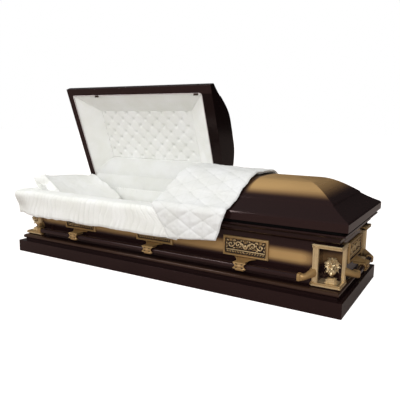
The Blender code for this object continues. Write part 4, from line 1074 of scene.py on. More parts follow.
def make_urn_meshes():
    """Urn on a square plinth with a full spray of lilies and leaves, at the front foot corner."""
    x, y = WAIST_X - 0.036, -(WAIST_Y - 0.036 + 0.023 / 4)
    base = SHELF_TOP + GAP
    half = 0.023
    plinth = ring_mesh([
        level(rectangle(x - a, x + a, y - a, y + a), z) for a, z in (
            (half, base), (half, base + 0.005), (half - 0.002, base + 0.0065),
            (half - 0.0035, base + 0.0075),
            (half - 0.0035, base + 0.0135), (half - 0.001, base + 0.0150), (half - 0.001, base + 0.017),
        )
    ])
    foot = base + 0.0165
    tall = 0.061
    profile = [
        (0.80, 0.0, 0), (0.82, 0.05, 0), (0.70, 0.09, 0), (0.40, 0.16, 0), (0.32, 0.21, 0), (0.42, 0.25, 0),
        (0.34, 0.28, 0), (0.48, 0.33, 0.4), (0.74, 0.42, 1), (0.92, 0.52, 1), (1.00, 0.62, 1),
        (0.98, 0.70, 0.8),
        (0.86, 0.77, 0.2), (0.74, 0.82, 0), (0.72, 0.86, 0), (0.84, 0.90, 0), (0.98, 0.945, 0),
        (1.0, 0.97, 0),
        (0.95, 1.0, 0), (0.80, 1.0, 0), (0.6, 0.93, 0),
    ]
    urn = turned_mesh([(r * half, foot + h * tall, c) for r, h, c in profile], (x, y), 48, 12, 0.10)
    meshes = [plinth, urn]
    top = foot + tall - 0.006
    lilies = [
        (-60, 22, 0.046), (20, 34, 0.040), (-130, 40, 0.038), (75, 30, 0.034), (-20, 62, 0.036),
        (-95, 66, 0.034), (170, 28, 0.030), (-45, 4, 0.052),
    ]
    for i, (spin, lean, reach) in enumerate(lilies):
        heading = Matrix.Rotation(radians(spin), 4, "Z") @ Matrix.Rotation(radians(lean), 4, "Y")
        place = Matrix.Translation((x, y, top)) @ heading
        stem = [(0.0016, 0.0, 0), (0.0014, reach * 0.45, 0), (0.0026, reach * 0.62, 0)]
        meshes.append(moved(turned_mesh(stem, (0, 0), 8), place))
        for k in range(6):
            petal = petal_mesh(0.026 if k % 2 else 0.023, 0.0115, 1.15, 0.35)
            turn = Matrix.Translation((0, 0, reach * 0.55)) @ Matrix.Rotation(2 * pi * k / 6 + i, 4, "Z")
            tip = Matrix.Translation((0.0016, 0, 0)) @ Matrix.Rotation(radians(12), 4, "Y")
            meshes.append(moved(petal, place @ turn @ tip))
        bud = turned_mesh([(0.0010, 0, 0), (0.0022, 0.012, 0), (0.0006, 0.020, 0)], (0, 0), 6)
        meshes.append(moved(bud, place @ Matrix.Translation((0, 0, reach * 0.55))))
    for k in range(11):
        spin = 360 * k / 11 + 17
        lean = 48 + 22 * ((k * 7) % 3)
        heading = Matrix.Rotation(radians(spin), 4, "Z") @ Matrix.Rotation(radians(lean), 4, "Y")
        leaf = petal_mesh(0.034 + 0.004 * (k % 3), 0.011, 0.9, 0.2)
        meshes.append(moved(leaf, Matrix.Translation((x, y, top - 0.003)) @ heading))
    return meshes


def rounded_bar_section(middle):
    """Square bar with rounded chamfers, as (across, height) points."""
    half, chamfer = BAR_SIZE / 2, 0.0075
    corners = []
    for sx, sz in ((1, 1), (-1, 1), (-1, -1), (1, -1)):
        pair = [(sx * half, sz * (half - chamfer)), (sx * (half - chamfer), sz * half)]
        corners += pair if sx * sz > 0 else pair[::-1]
    points = []
    for before, at, after in zip(corners[-1:] + corners[:-1], corners, corners[1:] + corners[:1]):
        for k in range(4):
            t = (k + 0.5) / 4
            a = Vector(at) + (Vector(before) - Vector(at)).normalized() * 0.0026 * (1 - t)
            b = Vector(at) + (Vector(after) - Vector(at)).normalized() * 0.0026 * t
            points.append((a + b) / 2)
    return [(p.x, middle + p.y) for p in points]


def make_castings():
    """Relief plates, arms, bars, corner castings and urns, on their walls."""
    lug = make_lug_mesh()
    arm = make_arm_meshes()
    walls = {
        "front": Matrix.Translation((0, -WAIST_Y, 0)),
        "back": Matrix.Translation((0, WAIST_Y, 0)) @ Matrix.Rotation(pi, 4, "Z"),
        "foot": Matrix.Translation((WAIST_X, 0, 0)) @ Matrix.Rotation(pi / 2, 4, "Z"),
        "head": Matrix.Translation((-WAIST_X, 0, 0)) @ Matrix.Rotation(-pi / 2, 4, "Z"),
    }
    for side, wall in walls.items():
        on_side = side in ("front", "back")
        for number, step in enumerate((-1, 0, 1) if on_side else (0,), 1):
            tag = f"{side}_{number}" if on_side else side
            place = wall @ Matrix.Translation((step * LUG_STEP, 0, 0))
            plate = finish_mesh(f"relief_plate_{tag}", lug.copy(), MATERIALS["cast"], 60, place)
            placed(plate, "casket_body", [f"lug_plate_{tag}"])
            for mesh, kind in zip(arm, ("cover", "band", "neck")):
                piece = finish_mesh(f"arm_{kind}_{tag}", mesh.copy(), MATERIALS["cast"], 60, place)
                if kind != "cover":
                    rounded(piece, 0.0015, 2, 35)
                placed(piece, "casket_body", [f"handle_arm_{tag}"] if kind == "cover" else [])
        low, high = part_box(f"handle_bar_{side}")
        section = rounded_bar_section((low.z + high.z) / 2)
        middle = (low.y + high.y) / 2 if on_side else (low.x + high.x) / 2
        span = (low.x, high.x) if on_side else (low.y, high.y)
        rings = []
        for at in np.linspace(*span, 25):
            rings.append([(at, middle + a, b) if on_side else (middle + a, at, b) for a, b in section])
        bar = finish_mesh(f"rail_{side}", ring_mesh(rings), MATERIALS["bar"], 50)
        placed(bar, "casket_body", [f"handle_bar_{side}"])
    whole = joined("corner_work", make_corner_meshes(), MATERIALS["cast"], 35)
    corner = bevelled(whole.data, 0.0011, 3, 35)
    corner.materials.clear()
    bpy.data.objects.remove(whole)
    urn = make_urn_meshes()
    for tag, (sx, sy) in CORNERS.items():
        mirror = Matrix.Diagonal((sx, -sy, 1, 1))
        piece = finish_mesh(f"corner_casting_{tag}", corner.copy(), MATERIALS["cast"], 15, mirror)
        # The stored relief lightens edges and darkens grooves here and on the urns: painted highlights and painted
        # shade over the finish's dark hollows; the corners' flats are set darker than the plates'.
        store_relief(piece.data, 0.0034, 2, 0.33)
        placed(piece, "casket_body", [f"corner_frame_{tag}"])
        piece = joined(f"lily_urn_{tag}", urn, MATERIALS["cast"], 50, mirror)
        store_relief(piece.data, 0.0012, 4)
        placed(piece, "casket_body", [f"corner_urn_{tag}"])


# Soft interior


def resample(line, count):
    """Points evenly spaced along a 2-D line."""
    line = np.asarray(line, float)
    step = np.hypot(*np.diff(line, axis=0).T)
    run = np.concatenate([[0], np.cumsum(step)])
    at = np.linspace(0, run[-1], count)
    return np.stack([np.interp(at, run, line[:, k]) for k in (0, 1)], 1), at


def rounded_line(line, radius, steps=6):
    """2-D line whose inner corners are rounded by arcs of about a radius."""
    line = [np.asarray(p, float) for p in line]
    points = [line[0]]
    for a, b, c in zip(line, line[1:], line[2:]):
        back, ahead = a - b, c - b
        cut = min(radius, np.linalg.norm(back) * 0.45, np.linalg.norm(ahead) * 0.45)
        p = b + back / np.linalg.norm(back) * cut
        q = b + ahead / np.linalg.norm(ahead) * cut
        for k in range(steps + 1):
            t = k / steps
            points.append((1 - t) ** 2 * p + 2 * t * (1 - t) * b + t * t * q)
    points.append(line[-1])
    return points


def gathers(along, up, pitch, seed):
    """Irregular gathers that run across a strip: height from -1 to 1."""
    wander = 0.35 * noise(along / 0.11, up / 0.09, seed) + 0.8 * noise(along / 0.30, up * 0 + 3.3, seed + 1)
    phase = along / pitch + wander + 0.25 * noise(along / (pitch * 1.5), up / 0.06, seed + 2)
    wave = np.sin(2 * pi * phase)
    strength = 0.55 + 0.45 * noise(along / 0.05, up / 0.07, seed + 3)
    return wave * strength + 0.35 * np.sin(2 * pi * phase * 1.9 + 1.3)


def simulated(mesh, pressure, pinned=(), slack=0.0, cap=0.03):
    """Places of a mesh's vertices after a cloth simulation with air pressure and no gravity."""
    count, frames = len(mesh.vertices), 20
    start = np.zeros(count * 3)
    mesh.vertices.foreach_get("co", start)
    piece = bpy.data.objects.new("cloth_work", mesh)
    scene = bpy.context.scene
    scene.collection.objects.link(piece)
    cloth = piece.modifiers.new("cloth", "CLOTH")
    settings = cloth.settings
    if len(pinned):
        piece.vertex_groups.new(name="pinned").add([int(k) for k in pinned], 1.0, "REPLACE")
        settings.vertex_group_mass = "pinned"
    settings.quality = 6
    settings.mass = 0.1
    settings.tension_stiffness = 12
    settings.compression_stiffness = 12
    settings.shear_stiffness = 3
    settings.bending_stiffness = 0.05
    settings.use_pressure = True
    settings.uniform_pressure_force = pressure
    settings.shrink_min = -slack
    settings.effector_weights.gravity = 0
    cloth.collision_settings.use_collision = False
    cloth.point_cache.frame_start = 1
    cloth.point_cache.frame_end = frames
    for number in range(1, frames + 1):
        scene.frame_set(number)
    result = piece.evaluated_get(bpy.context.evaluated_depsgraph_get()).to_mesh()
    end = np.zeros(count * 3)
    result.vertices.foreach_get("co", end)
    bpy.data.objects.remove(piece)
    scene.frame_set(1)
    start, end = start.reshape(-1, 3), end.reshape(-1, 3)
    move = end - start
    length = np.linalg.norm(move, axis=1, keepdims=True)
    return start + move * np.minimum(1, cap / np.maximum(length, 1e-9))


def make_extendover():
    """Gathered cloth rolled over the edge of the body, from the back of the head end to the split."""
    corner = 0.028
    path = [(-RIM_X + 0.020, 0.270), (-RIM_X + 0.020, -RIM_Y + corner)]
    turn = np.linspace(0, pi / 2, 13)[1:]
    path += [
        (-RIM_X + 0.020 + corner - corner * cos(a), -RIM_Y + corner - corner * sin(a)) for a in turn
    ]
    path.append((0.104, -RIM_Y))
    plan, along = resample(path, 610)
    outward = line_normals(plan)
    thick = ROLL_THICK
    top = LID_BOTTOM + thick / 2 + 2 * GAP
    inner, outer = -0.088 - thick / 2, 0.025 + thick / 2
    section = rounded_line([
        (inner, 0.381), (inner, top + 0.002), (-0.060, top + thick / 2 - 0.0005), (0.0, top + thick / 2),
        (outer - 0.010, top + thick / 2 - 0.001), (outer, top - 0.012), (outer - 0.001, 0.325),
        (outer + 0.001, HEM_LOW),
    ], 0.014)
    line, up = resample(section, 34)
    normal = -line_normals(line)
    a, u = np.meshgrid(along, up, indexing="ij")
    total = up[-1]
    flat_top = smoothstep(0.09, 0.14, u)
    hang = smoothstep(total - 0.13, total - 0.02, u)
    slant = a + 0.25 * u
    folds = gathers(slant, u, 0.034, 11)
    height = 0.0015 * folds * (0.25 + 0.75 * flat_top)
    height += 0.0005 * gathers(slant, u, 0.0130, 17) * (0.40 + 0.60 * flat_top)
    height += 0.0024 * noise(a / 0.065, u / 0.07, 21) * flat_top
    height -= 0.0060 * smoothstep(total - 0.006, total, u) ** 2
    height += 0.0040 * noise(a / 0.10, u * 0 + 7.7, 5) * smoothstep(0.03, 0.07, u) * smoothstep(0.19, 0.12, u)
    height -= 0.0130 * smoothstep(0.74, 0.62, a) * flat_top * (1 - 0.6 * hang)
    at_corner = np.exp(-((a - 0.66) / 0.085) ** 2)
    height -= 0.040 * at_corner * hang
    drop = 0.0022 * noise(a / 0.035, u * 0 + 1.1, 8) + 0.0030 * noise(a / 0.14, u * 0, 9)
    drop += 0.003 * smoothstep(0.95, 0.62, a)
    d = line[None, :, 0] + normal[None, :, 0] * height
    z = line[None, :, 1] + normal[None, :, 1] * height * (1 - hang) + drop * hang
    points = np.stack([
        plan[:, None, 0] + outward[:, None, 0] * d, plan[:, None, 1] + outward[:, None, 1] * d, z
    ], 2)
    under_throw = smoothstep(along[-1] - 0.40, along[-1], a) * smoothstep(0.13, 0.24, u)
    points[:, :, 0] += 0.115 * under_throw
    roll = slab_mesh(points, 0.0035)
    # Painted shade in the troughs of the gathers.
    hollow_shade = np.clip(-folds, 0, 1) * 0.16 * flat_top
    store(roll, "depth", np.concatenate([hollow_shade.ravel(), hollow_shade.ravel()]))
    piece = finish_mesh("gathered_roll", roll, MATERIALS["crepe"], 80)
    placed(piece, "casket_body", ["extendover"])
    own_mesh(piece)


def make_side_lining():
    """Gathered cloth down the inside walls of the body."""
    x, y, top_x, top_y = LINING_X, LINING_Y, LINING_TOP_X, LINING_TOP_Y
    radius = 0.018

    def ring_plan(a, b, r):
        points = []
        for sx, sy, start in ((1, -1, -90), (1, 1, 0), (-1, 1, 90), (-1, -1, 180)):
            points += arc((sx * (a - r), sy * (b - r)), (r, r), start, start + 90, 8)
        return points

    levels = [(x - 0.006, y - 0.006, 0.236), (x - 0.005, y - 0.005, 0.275), (x - 0.004, y - 0.004, 0.314),
              (x + 0.030, y + 0.0005, 0.338), (top_x - 0.006, top_y - 0.006, 0.3755)]
    fine = []
    for k in np.linspace(0, len(levels) - 1, 15):
        i = min(int(k), len(levels) - 2)
        t = k - i
        fine.append([levels[i][n] * (1 - t) + levels[i + 1][n] * t for n in range(3)])
    rings = []
    for a, b, z in fine:
        plan = ring_plan(a, b, radius)
        plan.append(plan[0])
        line, _ = resample(plan, 1101)
        rings.append(np.column_stack([line[:-1], np.full(1100, z)]))
    points = np.array(rings).transpose(1, 0, 2)
    flat = points[:, :, :2]
    run = np.linspace(0, 2.45 * 2, 1100)
    a, u = np.meshgrid(run, np.linspace(0, 0.15, len(fine)), indexing="ij")
    height = 0.0017 * gathers(a, u, 0.0122, 31) + 0.0020 * noise(a / 0.07, u / 0.05, 33)
    along = np.gradient(flat, axis=0)
    normal = np.stack([along[..., 1], -along[..., 0]], 2)
    normal /= np.maximum(np.linalg.norm(normal, axis=2, keepdims=True), 1e-9)
    points[:, :, :2] = flat - normal * (height + 0.002)[..., None]
    rows, columns = points.shape[:2]
    inner = points
    outer = points.copy()
    outer[:, :, :2] = flat + normal * 0.0015
    vertices = np.concatenate([inner.reshape(-1, 3), outer.reshape(-1, 3)])
    count = rows * columns
    faces = grid_faces(rows, columns, wrap_rows=True) + grid_faces(rows, columns, start=count, wrap_rows=True)
    for i in range(rows):
        j = (i + 1) % rows
        faces.append([i * columns, j * columns, j * columns + count, i * columns + count])
        k = columns - 1
        faces.append([i * columns + k, j * columns + k, j * columns + k + count, i * columns + k + count])
    piece = finish_mesh("side_lining", new_mesh(vertices, faces), MATERIALS["side_crepe"], 80)
    placed(piece, "casket_body", ["body_lining"])


def make_mattress():
    """Padded bed with a crowned top that rounds down at its edges, and straight sides."""
    x, y, low, top = MATTRESS_X, MATTRESS_Y, 0.0018, MATTRESS_TOP
    u = np.linspace(-1, 1, 151)
    v = np.linspace(-1, 1, 51)
    s, t = np.meshgrid(u, v, indexing="ij")
    px = x * np.sign(s) * (1 - (1 - np.abs(s)) ** 1.35)
    py = y * np.sign(t) * (1 - (1 - np.abs(t)) ** 1.35)
    edge_x, edge_y = x - np.abs(px), y - np.abs(py)
    crown = top - 0.020 * np.exp(-edge_x / 0.008) - 0.020 * np.exp(-edge_y / 0.008)
    crown -= 0.0030 * np.abs(noise(px / 0.09, py / 0.07, 41))
    crown -= 0.0012 * np.abs(noise(px / 0.02, py / 0.05, 42))
    crown = np.minimum(crown, top)
    crown = np.maximum(crown, top - 0.024)
    points = np.stack([px, py, crown], 2)
    rows, columns = points.shape[:2]
    vertices = points.reshape(-1, 3).tolist()
    faces = grid_faces(rows, columns)
    rim = grid_rim(rows, columns)
    previous = rim
    for z in (0.20, 0.10, 0.022, low):
        start = len(vertices)
        shrink = 0.006 if z == low else 0.0
        for k in rim:
            a, b = vertices[k][0], vertices[k][1]
            vertices.append([a - np.sign(a) * shrink, b - np.sign(b) * shrink, z])
        current = list(range(start, start + len(rim)))
        for i in range(len(rim)):
            j = (i + 1) % len(rim)
            faces.append([previous[i], previous[j], current[j], current[i]])
        previous = current
    faces.append(previous)
    piece = finish_mesh("mattress_pad", new_mesh(vertices, faces), MATERIALS["crepe"], 60)
    placed(piece, "casket_body", ["mattress"])


def make_pillow():
    """Full pillow with drawn corners and a sewn edge, leaning on the head end."""
    rows, columns = 72, 110
    u, v = np.meshgrid(np.linspace(-1, 1, rows), np.linspace(-1, 1, columns), indexing="ij")
    swell = ((1 - u ** 4) * (1 - v ** 4)) ** 0.5
    layers = [
        np.stack([u * PILLOW_LONG / 2, v * PILLOW_WIDE / 2, side * swell * 0.022], 2).reshape(-1, 3) for side in (1, -1)
    ]
    total = rows * columns
    border = ((np.abs(u) == 1) | (np.abs(v) == 1)).ravel()
    target = np.arange(2 * total)
    target[total:][border] = np.arange(total)[border]
    faces = grid_faces(rows, columns)
    faces += [[target[k + total] for k in face[::-1]] for face in grid_faces(rows, columns)]
    used = np.unique(np.array(faces))
    new_index = np.zeros(2 * total, int)
    new_index[used] = np.arange(len(used))
    faces = new_index[np.array(faces)].tolist()
    mesh = new_mesh(np.concatenate(layers)[used], faces)
    places = simulated(mesh, 4.0, slack=0.04, cap=0.05)
    for axis, size in enumerate((PILLOW_LONG, PILLOW_WIDE, PILLOW_THICK)):
        places[:, axis] *= size / (places[:, axis].max() - places[:, axis].min())
    ripple = 0.0016 * noise(places[:, 0] / 0.022 + 9, places[:, 1] / 0.03, 52)
    gather = 0.0030 * np.sin(places[:, 1] * 2 * pi / 0.021 + 2 * noise(places[:, 1] / 0.05, 0.5, 53))
    near_edge = smoothstep(0.105, 0.160, np.abs(places[:, 0]))
    off_seam = np.sign(places[:, 2]) * smoothstep(0.0, 0.01, np.abs(places[:, 2]))
    places[:, 2] += (ripple + gather * near_edge) * off_seam
    rotated = places @ np.array(Matrix.Rotation(PILLOW_TILT, 3, "Y")).T
    low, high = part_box("pillow")
    rotated[:, 0] += (low.x + high.x) / 2 - (rotated[:, 0].min() + rotated[:, 0].max()) / 2
    rotated[:, 2] += MATTRESS_TOP + GAP - rotated[:, 2].min() - 0.016
    low_end = smoothstep(-0.84, -0.62, rotated[:, 0])
    rotated[:, 2] -= 0.022 * rotated[:, 1] / 0.27 * smoothstep(-0.72, -0.92, rotated[:, 0])
    rotated[:, 0] += 0.016 * low_end
    rotated[:, 2] -= 0.044 * low_end
    bed = MATTRESS_TOP + GAP + 0.006 * smoothstep(0.02, -0.05, rotated[:, 2] - MATTRESS_TOP)
    rotated[:, 2] = np.maximum(rotated[:, 2], bed)
    rotated = new_mesh(rotated, faces)
    piece = finish_mesh("pillow_pad", rotated, MATERIALS["pillow_crepe"], 80)
    placed(piece, "casket_body", ["pillow"])
    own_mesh(piece)


# The head lid's opening, the border's outer edge and the panel's window, each as x0, x1, y0, y1
LAPS = [-1, 1, -1, 1]
OPENING = [-(RIM_X - LID_FLANGE), HEAD_SPLIT - HEADER_FLANGE, -(RIM_Y - LID_FLANGE), RIM_Y - LID_FLANGE]
BORDER_EDGE = [at + lap * 0.006 for at, lap in zip(OPENING, LAPS)]
WINDOW = [at + run for at, run in zip(OPENING, (0.125, -0.160, 0.147, -0.117))]
BORDER_LOW, BORDER_DEEP = LID_BOTTOM + 2 * SHEET + 2 * GAP, LID_BOTTOM + 0.110


def make_lid_border():
    """Four sloping strips of cloth from the head lid's opening in to the panel."""
    strips = []
    outer_plan, inner_plan = rectangle(*BORDER_EDGE), rectangle(*WINDOW)
    for side in range(4):
        a0, a1 = [Vector((*outer_plan[k % 4], BORDER_LOW)) for k in (side, side + 1)]
        b0, b1 = [Vector((*inner_plan[k % 4], BORDER_DEEP)) for k in (side, side + 1)]
        length = (a1 - a0).length
        columns, rows = int(length / 0.0047), 14
        s, t = np.meshgrid(np.linspace(0, 1, columns), np.linspace(0, 1, rows), indexing="ij")
        start = np.array(a0)[None, None] * (1 - s[..., None]) + np.array(a1)[None, None] * s[..., None]
        end = np.array(b0)[None, None] * (1 - s[..., None]) + np.array(b1)[None, None] * s[..., None]
        points = start * (1 - t[..., None]) + end * t[..., None]
        face = (a1 - a0).cross(b0 - a0).normalized()
        if face.z > 0:
            face = -face
        run = s * length
        hold = np.sin(pi * t) ** 0.5
        height = 0.0011 * gathers(run, t * 0.12, 0.016, 60 + side) * hold
        height += 0.0022 * noise(run / 0.08, t * 2.2, 70 + side) * hold
        height += 0.0042 * np.sin(pi * t) ** 0.8 * np.minimum(1, np.minimum(s, 1 - s) * length / 0.02)
        points = points + np.array(face)[None, None] * height[..., None]
        strips.append(slab_mesh(points, 0.0025 if np.dot(grid_normals(points)[3, 3], face) > 0 else -0.0025))
    border = joined("lid_border", strips, MATERIALS["border"], 50, OPENED)
    placed(border, "head_lid", ["head_lid_lining"])


def make_tufting():
    """Tufted panel of the head lid: creases between puffs, held by covered buttons."""
    x0, x1, y0, y1 = [at + lap * 0.009 for at, lap in zip(WINDOW, LAPS)]
    base = BORDER_DEEP + 0.0063 + 0.010
    columns, rows = 172, 82
    u, v = np.meshgrid(np.linspace(x0, x1, columns), np.linspace(y0, y1, rows), indexing="ij")
    pitch_u, pitch_v = 0.100, 0.094
    buttons = []
    for i in range(-2, 14):
        for j in range(-14, 14):
            cu = x0 + 0.036 + (i + j) / 2 * pitch_u
            cv = y0 + 0.020 + (i - j) / 2 * pitch_v
            if x0 + 0.014 < cu < x1 - 0.014 and y0 + 0.012 < cv < y1 - 0.012:
                buttons.append((cu, cv))
    nearest = np.full(u.shape, 1.0)
    for cu, cv in buttons:
        nearest = np.minimum(nearest, np.hypot(u - cu, v - cv))
    inset = np.minimum(np.minimum(u - x0, x1 - u), np.minimum(v - y0, y1 - v))
    start_height = -0.0100 * np.exp(-(nearest / 0.011) ** 2)
    flat = np.stack([u, v, start_height], 2).reshape(-1, 3)
    pinned = np.nonzero(((nearest < 0.0042) | (inset < 0.001)).ravel())[0]
    mesh = new_mesh(flat, grid_faces(columns, rows))
    if grid_normals(flat.reshape(columns, rows, 3))[5, 5][2] < 0:
        mesh.flip_normals()
    places = simulated(mesh, 6.0, pinned=pinned, slack=0.05, cap=0.03).reshape(columns, rows, 3)
    height = places[:, :, 2]
    full = np.clip((height - height.min()) / (np.percentile(height, 95) - height.min()), 0, 1.2)
    p = (u - x0 - 0.036) / pitch_u + (v - y0 - 0.020) / pitch_v
    q = (u - x0 - 0.036) / pitch_u - (v - y0 - 0.020) / pitch_v
    fold = np.minimum(np.abs(np.sin(pi * p)), np.abs(np.sin(pi * q)))
    height = 0.0035 * full + 0.0030 * fold ** 0.6 + 0.0100 * (1 - np.exp(-(nearest / 0.013) ** 2))
    height = height * smoothstep(0.0, 0.012, inset)
    points = np.stack([places[:, :, 0], places[:, :, 1], base - 0.003 - height], 2)
    sign = -1 if grid_normals(points)[5, 5][2] > 0 else 1
    panel_meshes = [slab_mesh(points, sign * 0.004)]
    cap = [(1.0, 0.0), (1.0, 0.35), (0.75, 0.8), (0.35, 1.0), (0.03, 1.05)]
    for cu, cv in buttons:
        rings = [
            [(cu + 0.0045 * r * cos(2 * pi * k / 14), cv + 0.0045 * r * sin(2 * pi * k / 14),
              base - 0.0028 - 0.0022 * h) for k in range(14)]
            for r, h in cap
        ]
        panel_meshes.append(ring_mesh(rings))
    panel = joined("lid_tufting", panel_meshes, MATERIALS["lid_crepe"], 60)
    places = np.array([v.co[:2] for v in panel.data.vertices])
    away = np.min([np.hypot(places[:, 0] - cu, places[:, 1] - cv) for cu, cv in buttons], axis=0)
    # Painted shade round each button.
    store(panel.data, "depth", 0.40 * np.exp(-(away / 0.0085) ** 2))
    panel.data.transform(OPENED)
    placed(panel, "head_lid", ["head_lid_panel"])


def make_welt():
    """Cord of cloth sewn round the head lid's opening."""
    welt_path = rounded_line(rectangle(*[o + lap * 0.003 for o, lap in zip(OPENING, LAPS)])[::-1], 0.018, 8)
    welt_path = [tuple(p) for p in welt_path] + [tuple(welt_path[0])]
    closed_path, _ = resample(welt_path, 420)
    closed_path = closed_path[:-1]
    tangents = np.roll(closed_path, -1, 0) - np.roll(closed_path, 1, 0)
    tangents /= np.linalg.norm(tangents, axis=1, keepdims=True)
    rings = []
    for (x, y), (tx, ty) in zip(closed_path, tangents):
        rings.append([
            (x + ty * 0.0024 * cos(a), y - tx * 0.0024 * cos(a), BORDER_LOW - 0.0026 + 0.0024 * sin(a))
            for a in np.linspace(0, 2 * pi, 9)[:-1]
        ])
    welt = finish_mesh("lid_welt", ring_mesh(rings, closed=True), MATERIALS["welt"], 80, OPENED)
    placed(welt, "head_lid", [])


def make_apron():
    """Puffed roll along the hinge side of the head lid."""
    inner_edge, outer_edge = np.array([WINDOW[3], BORDER_DEEP]), np.array([BORDER_EDGE[3], BORDER_LOW])
    slope = outer_edge - inner_edge
    out = np.array([slope[1], -slope[0]])
    out /= np.linalg.norm(out)
    shares = [
        (0.03, 0.0), (0.06, 0.30), (0.12, 0.58), (0.28, 0.88), (0.50, 1.0), (0.72, 0.78),
        (0.88, 0.36), (0.93, 0.04),
    ]
    line = [inner_edge + slope * share + out * (0.0046 + 0.026 * bulge) for share, bulge in shares]
    line, _ = resample(rounded_line(line, 0.012), 26)
    rows, columns = 300, 26
    points = np.zeros((rows, columns, 3))
    for j in range(columns):
        share = min(max((BORDER_DEEP - line[j][1]) / (BORDER_DEEP - BORDER_LOW), 0), 1)
        left = WINDOW[0] + (BORDER_EDGE[0] - WINDOW[0]) * share + 0.006
        right = WINDOW[1] + (BORDER_EDGE[1] - WINDOW[1]) * share - 0.006
        points[:, j, 0] = np.linspace(left, right, rows)
        points[:, j, 1] = line[j][0]
        points[:, j, 2] = line[j][1]
    run = points[:, :, 0]
    t = np.linspace(0, 1, columns) + 0 * run
    hold = np.sin(pi * t) ** 0.6
    ends = np.minimum(1, np.minimum(run - run[:1], run[-1:] - run) / 0.05) ** 0.5
    height = 0.0016 * gathers(run + 2, t * 0.12, 0.0150, 90) * hold
    height += 0.0030 * noise(run / 0.12, t * 1.6, 93) * hold
    squeeze = (1 - ends) * 0.020 * hold
    points, sign = raised(points, height - squeeze, (150, 20), 2, -1)
    apron = finish_mesh("lid_apron", slab_mesh(points, sign * 0.004), MATERIALS["apron"], 70, OPENED)
    placed(apron, "head_lid", ["head_lid_apron"])


def make_hinge_cloth():
    """Cloth that carries on from the apron of the open lid over the hinge side down into the body."""
    line, up = resample(rounded_line([
        (0.352, 0.463), (0.342, 0.452), (0.326, 0.437), (0.311, 0.416), (0.300, 0.392), (0.2935, 0.365),
        (0.2890, 0.335), (0.2875, 0.305),
    ], 0.02), 26)
    along = np.linspace(-1.004, 0.060, 300)
    x, u = np.meshgrid(along, up, indexing="ij")
    hold = np.sin(pi * np.linspace(0, 1, 26)) ** 0.5
    height = (0.0014 * gathers(x + 3, u, 0.018, 120) + 0.0022 * noise(x / 0.08, u / 0.07, 124)) * hold
    points = np.stack([x, np.repeat(line[None, :, 0], 300, 0), np.repeat(line[None, :, 1], 300, 0)], 2)
    points, sign = raised(points, height, (150, 10), 1, -1)
    piece = finish_mesh("hinge_cloth", slab_mesh(points, sign * 0.003), MATERIALS["hinge_crepe"], 80)
    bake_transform(piece)


def throw_line():
    """(y, z) down the throw's outer face, from the back rim over the crown to the front hem."""
    cover = []
    profile = crown_profile(14)
    for (s, z), vector in zip(profile, corner_vectors(profile)):
        p = Vector((s, z)) - vector * THROW_LIFT
        if p.y > BAND_TOP + THROW_LIFT / 2:
            cover.append((p.x, p.y))
    line = [(RIM_Y - s, z) for s, z in cover[:-1]] + [(0.0, cover[-1][1])]
    line += [(-(RIM_Y - s), z) for s, z in cover[-2::-1]]
    line += [
        (-RIM_Y - 0.0276, BAND_TOP + 0.012), (-RIM_Y - 0.047, BAND_TOP - 0.0137),
        (-RIM_Y - 0.0473, 0.34), (-RIM_Y - 0.0476, HEM_LOW),
    ]
    return line


